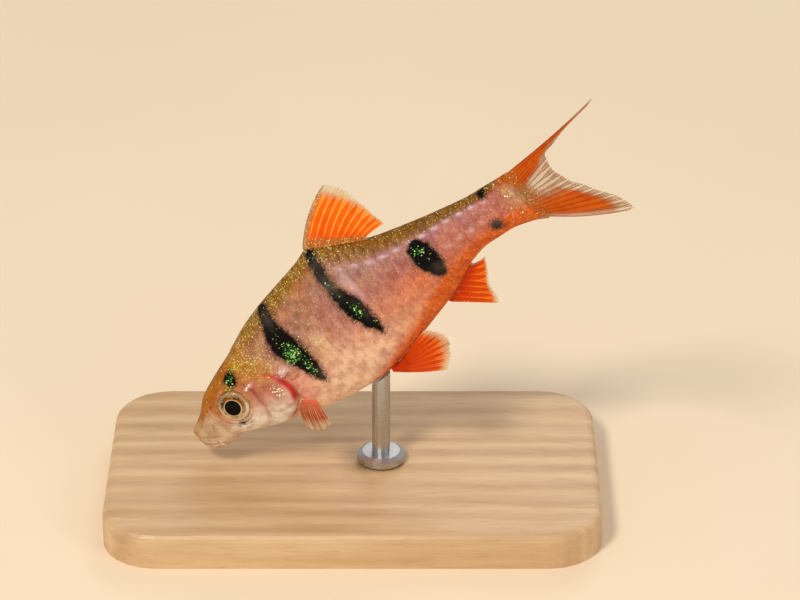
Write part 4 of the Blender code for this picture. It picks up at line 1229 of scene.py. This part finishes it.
def glitter_group():
    """Tiny flakes: where they lie, and a random number for each."""
    tree, given, made = new_group(
        "glitter_flakes",
        (PLACE_SOCKET, ("Size", NUMBER, 0.2), ("Amount", NUMBER, 0.3), ("Clump", NUMBER, 0.5),
         ("Shift", NUMBER, 0.0)),
        (("Mask", NUMBER), ("Random", NUMBER)))
    clear = between(tree, noise(tree, given["Place"], 0.62, 2.5, 0.6), 0.60, 0.47)
    gathered = maths(tree, "SUBTRACT", 1.0, maths(tree, "MULTIPLY", given["Clump"], clear))
    amount = maths(tree, "MULTIPLY", given["Amount"], gathered)
    cells, random, other = flake_cells(tree, given["Place"], given["Size"], given["Shift"])
    tree.links.new(flake_mask(tree, amount, random, cells, (0.52, 0.30)), made["Mask"])
    tree.links.new(other, made["Random"])
    return tree


def ragged_group():
    """Soft edge of a mark, broken up into dots, from the distance outside it in millimetres."""
    tree, given, made = new_group(
        "ragged_edge",
        (PLACE_SOCKET, ("Distance", NUMBER, 0.0), ("Softness", NUMBER, 0.2)),
        (("Mask", NUMBER), ("Haze", NUMBER)))
    soft = given["Softness"]
    shake = maths(tree, "SUBTRACT", noise(tree, given["Place"], 0.6, 3.0), 0.5)
    shaken = maths(tree, "ADD", given["Distance"], maths(tree, "MULTIPLY", shake, 0.8))
    inside = maths(tree, "MULTIPLY", soft, -1.0)
    core = between(tree, shaken, maths(tree, "MULTIPLY", soft, 0.7), inside)
    chance = between(tree, shaken, maths(tree, "MULTIPLY", soft, 3.2), inside, 0.0, 0.9)
    cells, random, _ = flake_cells(tree, given["Place"], 0.13, 0.0)
    dots = flake_mask(tree, chance, random, cells, (0.55, 0.35))
    tree.links.new(maths(tree, "MAXIMUM", core, dots), made["Mask"])
    haze = between(tree, shaken, maths(tree, "MULTIPLY", soft, 3.6), inside)
    tree.links.new(haze, made["Haze"])
    return tree


def mottle_group():
    """Cloudy change of tone, and fine grain for colour and bump."""
    tree, given, made = new_group(
        "mottle",
        (PLACE_SOCKET, ("Cloud size", NUMBER, 1.6), ("Grain size", NUMBER, 0.12)),
        (("Cloud", NUMBER), ("Grain", NUMBER)))
    for size, socket, detail in (("Cloud size", "Cloud", 3.0), ("Grain size", "Grain", 2.0)):
        node = tree.nodes.new("ShaderNodeTexNoise")
        tree.links.new(given["Place"], node.inputs["Vector"])
        tree.links.new(maths(tree, "DIVIDE", 1000.0, given[size]), node.inputs["Scale"])
        node.inputs["Detail"].default_value = detail
        tree.links.new(node.outputs[0], made[socket])
    return tree


GLITTER = glitter_group()
RAGGED = ragged_group()
MOTTLE = mottle_group()


def new_material(name, **plain):
    """Material with one Principled shader; plain values go straight onto its sockets."""
    material = bpy.data.materials.new(name)
    material.use_nodes = True
    tree = material.node_tree
    shader = tree.nodes["Principled BSDF"]
    for socket, value in plain.items():
        shader.inputs[socket.replace("_", " ")].default_value = value
    return material, tree, shader.inputs


def bumped(tree, height, strength, distance):
    """Normal that a height gives; the distance is in metres."""
    node = tree.nodes.new("ShaderNodeBump")
    node.inputs["Strength"].default_value = strength
    node.inputs["Distance"].default_value = distance
    tree.links.new(height, node.inputs["Height"])
    return node.outputs[0]


def ramp(tree, value, stops):
    """Colour read off a row of stops, each a position and a display colour."""
    node = tree.nodes.new("ShaderNodeValToRGB")
    tree.links.new(value, node.inputs[0])
    while len(node.color_ramp.elements) < len(stops):
        node.color_ramp.elements.new(0.5)
    for element, (position, colour) in zip(node.color_ramp.elements, stops):
        element.position = position
        element.color = tone(*colour)
    return node.outputs[0]


# Tones down the flank, from the back at 0 to the belly at 1, and of flakes, by their random number
FLANK_TONES = ((0.12, (166, 112, 56)), (0.28, (160, 114, 98)), (0.42, (182, 122, 108)),
               (0.56, (214, 150, 124)), (0.72, (248, 194, 156)), (1.0, (255, 214, 176)))
HEAD_SIDE_TONES = ((0.2, (176, 102, 24)), (0.36, (190, 120, 66)), (0.5, (206, 146, 112)))
TAIL_BASE_TONES = ((0.24, (196, 96, 26)), (0.42, (190, 156, 122)), (0.54, (190, 146, 108)),
                   (0.68, (206, 100, 24)))
GREEN_FLAKES = ((0.0, (48, 132, 50)), (0.35, (100, 192, 80)), (0.7, (180, 230, 112)),
                (1.0, (240, 250, 190)))
GOLD_FLAKES = ((0.0, (170, 124, 20)), (0.45, (214, 182, 62)), (0.85, (238, 224, 124)),
               (1.0, (255, 250, 214)))

# Fish's single tones
STALK_ROSE = tone(188, 104, 88)
WARM_CLOUD = tone(208, 116, 56)
VIOLET_CLOUD = tone(164, 106, 114)
BROWN_CLOUD = tone(164, 92, 84)
PALE_FLANK = tone(255, 216, 178)
STALK_ORANGE = tone(226, 98, 10)
CHEEK = tone(226, 188, 160)
THROAT = tone(255, 247, 230)
MUZZLE_ABOVE = tone(204, 174, 134)
# Lower muzzle painted lighter to offset the shade that falls under the snout
MUZZLE_BELOW_PAINTED_LIGHTER = tone(230, 204, 170)
NAPE = tone(172, 98, 2)
BACK_OLIVE = tone(122, 72, 0)
BACK_RIDGE = tone(84, 54, 2)
GRAIN_LIGHT = tone(250, 190, 140)
DARK_DUST = tone(140, 68, 32)
PALE_DUST = tone(255, 212, 190)
GOLD_GROUND = tone(184, 146, 52)
BREAST_PINK = tone(240, 162, 136)
CHEEK_PURPLE = tone(168, 84, 74)
GILL_RED_RIM = tone(204, 84, 68)
GILL_RED = tone(190, 52, 42)
# Painted sheen and highlights, laid over the skin's colour
PAINTED_BLUE_SHEEN = tone(238, 214, 226)
MARK_HAZE = tone(92, 58, 42)
MARK_BLACK = tone(9, 6, 5)
MARK_WORN = tone(110, 96, 86)
GREEN_GROUND = tone(136, 126, 20)
DEEP_GREEN = tone(14, 56, 20)
YELLOW_FLAKE = tone(206, 204, 70)
# Cream glitter, also used for the painted glints on the head
PEARL = tone(252, 244, 212)
SCALE_RIM = tone(120, 70, 50)
# Painted sheen: pale reflection screened onto each scale
PAINTED_SCALE_SHEEN = tone(255, 222, 200)
CLEAR_WEB = tone(206, 186, 150)
CLEAR_RAY = tone(232, 204, 150)
FIN_CLOUD = tone(214, 96, 30)
FIN_DUST = tone(150, 112, 60)
FIN_SPECK = tone(250, 226, 130)

# Fins' tones: deep at the root, bright web and rays
DORSAL_TONES = (tone(238, 90, 0), tone(244, 106, 0), tone(254, 168, 70))
ANAL_TONES = (tone(198, 50, 0), tone(212, 70, 0), tone(240, 128, 30))
TAIL_TONES = (tone(196, 88, 12), tone(218, 98, 2), tone(170, 70, 4))
PELVIC_TONES = (tone(184, 46, 0), tone(200, 62, 0), tone(244, 140, 34))
PECTORAL_TONES = (tone(226, 116, 80), tone(170, 68, 6), tone(252, 172, 112))
TAIL_CLEAR_RAY = tone(176, 124, 66)

# Fin texture: fine lines and bunches of rays, as the pace of a wave over the rays
FINE_LINES_PACE = 18.85
BUNCHES_PACE = 2.1


def flank_colour(tree, place, share, turn, pale):
    """Brown and violet flank, paler below and rosier towards the tail, with wide clouds of tone."""
    colour = ramp(tree, turn, FLANK_TONES)
    colour = layer(tree, colour, between(tree, share, 0.55, 0.85), STALK_ROSE, 0.75)
    cloud = noise(tree, place, 4.2, 2.0)
    colour = layer(tree, colour, between(tree, cloud, 0.54, 0.68), WARM_CLOUD, 0.24)
    colour = layer(tree, colour, between(tree, cloud, 0.48, 0.34), VIOLET_CLOUD, 0.42)
    return layer(tree, colour, pale, PALE_FLANK, 0.85)


def head_over(tree, colour, turn, muzzle, silver, brown):
    """The head's colours laid on: brown above, silver below, and the greyer muzzle, painted lighter
    underneath against its shade.
    """
    colour = layer(tree, colour, brown, ramp(tree, turn, HEAD_SIDE_TONES))
    underneath = mixed(tree, between(tree, turn, 0.50, 0.68), CHEEK, THROAT)
    colour = layer(tree, colour, silver, underneath)
    # Muzzle: the lower tone is painted lighter to offset the shade under the snout
    snout = mixed(tree, between(tree, turn, 0.4, 0.66), MUZZLE_ABOVE, MUZZLE_BELOW_PAINTED_LIGHTER)
    return layer(tree, colour, muzzle, snout)


def dust_over(tree, colour, place, grain):
    """Pale grain of the skin, then fine dark and pale dust."""
    colour = layer(tree, colour, between(tree, grain, 0.40, 0.72), GRAIN_LIGHT, 0.10, "SCREEN")
    for size, amount, shift, dot in ((0.12, 0.3, 7.0, DARK_DUST), (0.13, 0.2, 13.0, PALE_DUST)):
        dust = placed(tree, GLITTER, place=place, size=size, amount=amount, clump=0.5, shift=shift)
        colour = layer(tree, colour, dust["Mask"], dot, 0.5)
    return colour


def back_over(tree, colour, share, turn, olive):
    """The back's olive brown, more golden on the nape and darker along the ridge."""
    back = mixed(tree, between(tree, share, 0.17, 0.3), NAPE, BACK_OLIVE)
    back = mixed(tree, between(tree, turn, 0.07, 0.01, 0.0, 0.55), back, BACK_RIDGE)
    return layer(tree, colour, olive, back)


def gill_over(tree, colour, red, purple, pink):
    """Pink over the pectoral fin, the cheek's purple lines and the gill cover's red edge."""
    colour = layer(tree, colour, pink, BREAST_PINK, 0.55)
    colour = layer(tree, colour, purple, CHEEK_PURPLE)
    edge = mixed(tree, between(tree, red, 0.5, 1.0), GILL_RED_RIM, GILL_RED)
    return layer(tree, colour, red, edge)


def dark_marks_over(tree, colour, ragged, cloud, faded, green):
    """Black marks with a hazy rim, worn thin in places, on a green ground and with green within."""
    colour = layer(tree, colour, ragged["Haze"], MARK_HAZE, 0.55)
    thin = maths(tree, "MULTIPLY", faded, between(tree, cloud, 0.3, 0.7, 0.35, 1.0))
    colour = layer(tree, colour, green, GREEN_GROUND, 0.4)
    colour = layer(tree, colour, ragged["Mask"], mixed(tree, thin, MARK_BLACK, MARK_WORN))
    middle = maths(tree, "MULTIPLY", between(tree, green, 0.45, 1.0), ragged["Mask"])
    return layer(tree, colour, middle, DEEP_GREEN, 0.7)


def flakes_over(tree, colour, place, on_mark, green, gold, cream):
    """Green, gold and cream flakes, some of the cream ones painted glints; gives the colour with
    them on, and where they shine.
    """
    flakes = placed(tree, GLITTER, place=place, size=0.19, amount=between(tree, green, 0.05, 0.8),
                    clump=0.72, shift=0.0)
    flake = mixed(tree, on_mark, YELLOW_FLAKE, ramp(tree, flakes["Random"], GREEN_FLAKES))
    colour = layer(tree, colour, flakes["Mask"], flake)
    thick = placed(tree, GLITTER, place=place, size=0.22, amount=between(tree, green, 0.45, 1.1),
                   clump=0.5, shift=21.0)
    colour = layer(tree, colour, thick["Mask"], flake)
    specks = placed(tree, GLITTER, place=place, size=0.14, amount=gold, clump=0.5, shift=3.0)
    colour = layer(tree, colour, specks["Mask"], ramp(tree, specks["Random"], GOLD_FLAKES))
    # Cream pearls: real glitter, and painted highlights where the cream spots are glints
    pearls = placed(tree, GLITTER, place=place, size=0.24, amount=cream, clump=0.2, shift=11.0)
    colour = layer(tree, colour, pearls["Mask"], PEARL)
    shining = maths(tree, "MAXIMUM", flakes["Mask"], pearls["Mask"])
    return colour, maths(tree, "MAXIMUM", specks["Mask"], shining)


def scale_rims_and_painted_sheen_over(tree, colour, on_mark, olive):
    """Darker rim on each scale, strongest on the back, and a painted sheen within it (a pale
    reflection of random strength) off the marks.
    """
    edge, own_number, _ = parts_of(tree, "scale_place")
    strength = maths(tree, "MULTIPLY_ADD", olive, 0.22, 0.17)
    rim = maths(tree, "MULTIPLY", between(tree, edge, 0.2, 0.02), strength)
    colour = layer(tree, colour, rim, SCALE_RIM, way="MULTIPLY")
    # Painted sheen: a pale reflection of random strength on each scale, none on the dark marks
    painted_sheen = maths(tree, "MULTIPLY_ADD", on_mark, -0.07, maths(tree, "MULTIPLY", own_number, 0.07))
    painted_sheen = maths(tree, "MULTIPLY", between(tree, edge, 0.12, 0.42),
                  maths(tree, "MAXIMUM", painted_sheen, 0.0))
    return layer(tree, colour, painted_sheen, PAINTED_SCALE_SHEEN, way="SCREEN")


def fish_material(name, on_scales):
    """Wet skin of the barb, or the same colours on its scales with their edges picked out and a
    painted sheen on each.
    """
    material, tree, shader = new_material(name, Coat_Weight=0.03, Coat_Roughness=0.3,
                                          Specular_IOR_Level=0.09)
    place = here(tree)
    share, turn, faded = parts_of(tree, "body_place")
    dark, green, tail_base = parts_of(tree, "dark_marks")
    olive, orange, pale = parts_of(tree, "body_tints")
    gold, cream, blue = parts_of(tree, "specks")
    mottle = placed(tree, MOTTLE, place=place, cloud_size=1.15, grain_size=0.13)
    ragged = placed(tree, RAGGED, place=place, distance=dark, softness=0.2)

    colour = flank_colour(tree, place, share, turn, pale)
    colour = head_over(tree, colour, turn, *parts_of(tree, "head_tints"))
    colour = layer(tree, colour, orange, STALK_ORANGE)
    colour = dust_over(tree, colour, place, mottle["Grain"])
    colour = back_over(tree, colour, share, turn, olive)
    colour = layer(tree, colour, gold, GOLD_GROUND, 0.4)
    colour = gill_over(tree, colour, *parts_of(tree, "gill_tints"))
    colour = layer(tree, colour, tail_base, ramp(tree, turn, TAIL_BASE_TONES), 0.9)
    cloudy = between(tree, mottle["Cloud"], 0.35, 0.68)
    colour = layer(tree, colour, cloudy, BROWN_CLOUD, 0.4, "MULTIPLY")
    # Painted sheen and highlights: the pale dashed rows on the flank and glints on the head
    colour = layer(tree, colour, blue, PAINTED_BLUE_SHEEN, 0.85)
    colour = dark_marks_over(tree, colour, ragged, mottle["Cloud"], faded, green)
    colour, shining = flakes_over(tree, colour, place, ragged["Mask"], green, gold, cream)
    if on_scales:
        colour = scale_rims_and_painted_sheen_over(tree, colour, ragged["Mask"], olive)
    tree.links.new(colour, shader["Base Color"])

    dull = maths(tree, "MULTIPLY_ADD", ragged["Mask"], 0.3, 0.45)
    tree.links.new(between(tree, shining, 0.0, 1.0, dull, 0.2), shader["Roughness"])
    height = maths(tree, "MULTIPLY_ADD", mottle["Grain"], 0.6,
                   maths(tree, "MULTIPLY", shining, 0.5))
    tree.links.new(bumped(tree, height, 0.35, 0.06 * MM), shader["Normal"])
    return material


def fin_material(name, deep, bright, ray_tone, clear_ray=CLEAR_RAY, rays_from=0.0, fine=0.0,
                 bunched=0.0):
    """Thin wet fin: deep at the root, bright webs with their rays, going clear towards the margin.

    The rays show from a share of their length on. Fine is the strength of thin lines between
    them, and bunched is how much some of them fade beside others.
    """
    material, tree, shader = new_material(name, Roughness=0.45, Specular_IOR_Level=0.12)
    place = here(tree)
    phase, reach, ray = parts_of(tree, "fin_place")
    orange, clear, dusty = parts_of(tree, "fin_tints")
    mottle = placed(tree, MOTTLE, place=place, cloud_size=1.2, grain_size=0.1)
    web = mixed(tree, between(tree, reach, 0.0, 0.6), deep, bright)
    web = mixed(tree, clear, web, CLEAR_WEB)
    lines = wave(tree, phase, FINE_LINES_PACE)
    lines = maths(tree, "MULTIPLY", lines, between(tree, reach, 0.15, 0.5, 0.0, fine))
    web = mixed(tree, lines, web, ray_tone)
    faint = maths(tree, "MULTIPLY", wave(tree, phase, BUNCHES_PACE), bunched)
    shown = maths(tree, "MULTIPLY", between(tree, reach, rays_from, rays_from + 0.4, 0.14, 0.9),
                  maths(tree, "SUBTRACT", 1.0, faint))
    streak = between(tree, ray, 0.12, 0.62)
    rays = mixed(tree, orange, clear_ray, ray_tone)
    colour = layer(tree, web, maths(tree, "MULTIPLY", streak, shown), rays)
    cloudy = between(tree, mottle["Cloud"], 0.4, 0.7)
    colour = layer(tree, colour, cloudy, FIN_CLOUD, 0.3, "MULTIPLY")
    colour = layer(tree, colour, dusty, FIN_DUST, 0.75)
    amount = maths(tree, "MULTIPLY", dusty, 0.55)
    specks = placed(tree, GLITTER, place=place, size=0.15, amount=amount, clump=0.5, shift=3.0)
    colour = layer(tree, colour, specks["Mask"], FIN_SPECK)
    tree.links.new(colour, shader["Base Color"])
    film = maths(tree, "MULTIPLY_ADD", clear, -0.86, 1.0)
    bone = maths(tree, "MULTIPLY_ADD", clear, -0.35, 1.0)
    tree.links.new(mixed(tree, streak, film, bone), shader["Alpha"])
    tree.links.new(bumped(tree, mottle["Grain"], 0.3, 0.04 * MM), shader["Normal"])
    return material


# Eye's pupil and rings, as shares of its radius: where each starts and ends, or rises and falls
PUPIL = (0.54, 0.515)
INNER_RING = ((0.51, 0.535), (0.605, 0.56))
OUTER_RING = ((0.74, 0.88), (1.02, 0.98))
IRIS_LOWER = (tone(132, 104, 72), tone(206, 176, 134))
IRIS_UPPER = (tone(74, 36, 4), tone(138, 74, 12))
IRIS_SHADE = tone(120, 84, 50)
IRIS_NOTCH = tone(46, 26, 10)
INNER_RING_TONE = tone(236, 204, 150)
OUTER_RING_TONE = tone(228, 200, 158)
PUPIL_TONE = tone(5, 3, 2)
EYE_FLAKE = tone(250, 226, 160)


def eye_material():
    """Eye: black pupil in a bright ring, iris brown above and silver below, cream outer ring."""
    material, tree, shader = new_material("eye_glaze", Coat_Weight=0.1, Coat_Roughness=0.04,
                                          Specular_IOR_Level=0.06)
    place = here(tree)
    away, up, ahead = parts_of(tree, "eye_place")
    mottle = placed(tree, MOTTLE, place=place, cloud_size=0.45, grain_size=0.08)
    cloud = between(tree, mottle["Cloud"], 0.38, 0.62)
    shake = maths(tree, "MULTIPLY", maths(tree, "SUBTRACT", mottle["Grain"], 0.5), 0.035)
    shaken = maths(tree, "ADD", away, shake)
    upness = maths(tree, "MULTIPLY_ADD", ahead, -0.45, up)
    lower = mixed(tree, cloud, *IRIS_LOWER)
    lower = mixed(tree, between(tree, away, 0.74, 0.56, 0.0, 0.35), lower, IRIS_SHADE)
    upper = mixed(tree, cloud, *IRIS_UPPER)
    colour = mixed(tree, between(tree, upness, -0.15, 0.35), lower, upper)
    notch = between(tree, maths(tree, "MULTIPLY_ADD", ahead, 0.9, up), 0.72, 1.0)
    colour = layer(tree, colour, notch, IRIS_NOTCH, 0.8)
    outer_ring = band(tree, shaken, *OUTER_RING)
    outer_ring = maths(tree, "MULTIPLY", outer_ring, between(tree, upness, 0.55, -0.15, 0.3, 0.9))
    colour = layer(tree, colour, outer_ring, OUTER_RING_TONE)
    inner_ring = band(tree, shaken, *INNER_RING)
    inner_ring = maths(tree, "MULTIPLY", inner_ring, between(tree, upness, 0.5, -0.2, 0.55, 0.95))
    colour = layer(tree, colour, inner_ring, INNER_RING_TONE)
    colour = layer(tree, colour, between(tree, away, *PUPIL), PUPIL_TONE)
    amount = maths(tree, "MULTIPLY", between(tree, away, 0.6, 0.75),
                   between(tree, upness, -0.2, 0.7, 0.12, 0.3))
    flakes = placed(tree, GLITTER, place=place, size=0.1, amount=amount, clump=0.0, shift=5.0)
    colour = layer(tree, colour, flakes["Mask"], EYE_FLAKE, 0.75)
    tree.links.new(colour, shader["Base Color"])
    tree.links.new(between(tree, away, 0.4, 0.6, 0.06, 0.3), shader["Roughness"])
    return material


# Stand's and floor's tones: grain, rings and fibres of the wood, brushed steel, ground
MAPLE_GRAIN = ((0.25, (196, 158, 112)), (0.5, (214, 178, 132)), (0.8, (226, 194, 150)))
MAPLE_RINGS = tone(178, 134, 86)
MAPLE_FIBRES = tone(160, 116, 70)
STEEL_TONES = (tone(168, 168, 170), tone(206, 206, 206))
GROUND_TONES = (tone(240, 218, 186), tone(246, 226, 197))


def maple_material():
    """Oiled pale wood with long grain along the base."""
    material, tree, shader = new_material("oiled_maple", Coat_Weight=0.15, Coat_Roughness=0.3)
    along_grain = stretched(tree, (0.09, 1.0, 1.0))
    grain = noise(tree, along_grain, 1.6, 5.0, 0.62)
    fibre = noise(tree, along_grain, 0.22, 3.0, 0.6)
    rings = tree.nodes.new("ShaderNodeTexWave")
    rings.bands_direction = "Y"
    for socket, value in (("Scale", 95.0), ("Distortion", 5.5), ("Detail", 3.0),
                          ("Detail Scale", 1.4), ("Vector", along_grain)):
        feed(tree, rings.inputs[socket], value)
    colour = ramp(tree, grain, MAPLE_GRAIN)
    colour = layer(tree, colour, rings.outputs["Fac"], MAPLE_RINGS, 0.28, "MULTIPLY")
    colour = layer(tree, colour, between(tree, fibre, 0.5, 0.75), MAPLE_FIBRES, 0.25)
    tree.links.new(colour, shader["Base Color"])
    tree.links.new(between(tree, fibre, 0.3, 0.7, 0.38, 0.55), shader["Roughness"])
    tree.links.new(bumped(tree, fibre, 0.25, 0.08 * MM), shader["Normal"])
    return material


def steel_material():
    """Brushed steel, its scratches running round the rod."""
    material, tree, shader = new_material("brushed_steel", Metallic=1.0)
    brushed = noise(tree, stretched(tree, (0.15, 0.15, 1.0)), 0.12, 3.0, 0.7)
    smudge = noise(tree, here(tree), 2.5, 2.0)
    tree.links.new(mixed(tree, brushed, *STEEL_TONES), shader["Base Color"])
    worn = maths(tree, "MULTIPLY_ADD", smudge, 0.12, 0.16)
    tree.links.new(maths(tree, "MULTIPLY_ADD", brushed, 0.16, worn), shader["Roughness"])
    tree.links.new(bumped(tree, brushed, 0.2, 0.03 * MM), shader["Normal"])
    return material


def floor_material():
    """Plain pale ground, a little uneven in tone."""
    material, tree, shader = new_material("pale_floor", Roughness=0.7)
    cloud = noise(tree, here(tree), 60.0, 3.0)
    tree.links.new(mixed(tree, cloud, *GROUND_TONES), shader["Base Color"])
    return material


def make_floor():
    """Wide flat ground under the stand, for the picture only."""
    mesh = bpy.data.meshes.new("floor")
    corners = [(x * FLOOR_HALF, y * FLOOR_HALF, 0) for x, y in ((-1, -1), (1, -1), (1, 1), (-1, 1))]
    mesh.from_pydata(corners, [], [(0, 1, 2, 3)])
    mesh.materials.append(floor_material())
    floor = bpy.data.objects.new("floor", mesh)
    bpy.context.scene.collection.objects.link(floor)


def make_lamp(name, place, size, power, warmth):
    """Round lamp that faces the fish."""
    lamp = bpy.data.lights.new(name, "AREA")
    lamp.shape = "DISK"
    lamp.size = size
    lamp.energy = power
    lamp.color = warmth
    thing = bpy.data.objects.new(name, lamp)
    bpy.context.scene.collection.objects.link(thing)
    thing.location = place
    thing.rotation_mode = "QUATERNION"
    thing.rotation_quaternion = (Vector(LAMP_AIM) - Vector(place)).to_track_quat("-Z", "Y")


def light_studio():
    """Soft warm room light, with a key lamp, a fill and a lamp behind."""
    world = bpy.data.worlds.new("soft_room")
    bpy.context.scene.world = world
    world.use_nodes = True
    background = world.node_tree.nodes["Background"].inputs
    background["Color"].default_value = ROOM_TONE
    background["Strength"].default_value = ROOM_STRENGTH
    for name, *lamp in LAMPS:
        make_lamp(name, *lamp)
    bpy.context.scene.view_settings.view_transform = "Standard"


def set_camera():
    """The photograph's camera: from the fish's left, 28 degrees above it."""
    cos, sin = math.cos(CAMERA_ABOVE), math.sin(CAMERA_ABOVE)
    across = (PICTURE[0] / 2 - SNOUT_SHOWS_AT[0]) / POINTS_PER_METRE
    rise = (SNOUT_SHOWS_AT[1] - PICTURE[1] / 2) / POINTS_PER_METRE / cos
    aim = Vector(SNOUT_TIP) + Vector((across, 0, rise))
    camera = bpy.data.cameras.new("camera")
    camera.sensor_width = 36
    camera.lens = POINTS_PER_METRE * CAMERA_DISTANCE * camera.sensor_width / PICTURE[0]
    camera.clip_start = 0.01
    thing = bpy.data.objects.new("camera", camera)
    bpy.context.scene.collection.objects.link(thing)
    thing.location = aim + Vector((0, -cos, sin)) * CAMERA_DISTANCE
    thing.rotation_euler = (math.pi / 2 - CAMERA_ABOVE, 0, 0)
    bpy.context.scene.camera = thing


def main():
    """Sets the picture up, makes every piece and gives the stand its materials."""
    set_camera()
    light_studio()
    make_floor()
    make_skin(fish_material("fish_skin", False))
    make_scales(fish_material("fish_scales", True))
    dorsal_film = fin_material("dorsal_film", *DORSAL_TONES)
    anal_film = fin_material("anal_film", *ANAL_TONES, rays_from=0.2)
    tail_film = fin_material("tail_film", *TAIL_TONES, clear_ray=TAIL_CLEAR_RAY, fine=0.4)
    pelvic_film = fin_material("pelvic_film", *PELVIC_TONES, rays_from=0.55)
    pectoral_film = fin_material("pectoral_film", *PECTORAL_TONES, bunched=0.85)
    make_median_fin("dorsal_fin", dorsal_film, DORSAL_FIN, dorsal_tint)
    make_median_fin("anal_fin", anal_film, ANAL_FIN, anal_tint)
    make_tail_fin(tail_film)
    eye_glaze = eye_material()
    for name, side in (("left", -1), ("right", 1)):
        make_paired_fin("pectoral_fin_" + name, pectoral_film, side, PECTORAL_FIN, pectoral_tint)
        make_eye("eye_" + name, side, eye_glaze)
    make_paired_fin("pelvic_fin_left", pelvic_film, -1, PELVIC_FIN_LEFT, pelvic_tint)
    make_paired_fin("pelvic_fin_right", pelvic_film, 1, PELVIC_FIN_RIGHT, pelvic_tint)
    for node, material in (("stand_base", maple_material()), ("stand_rod", steel_material())):
        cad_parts[node].data.materials.clear()
        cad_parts[node].data.materials.append(material)


main()
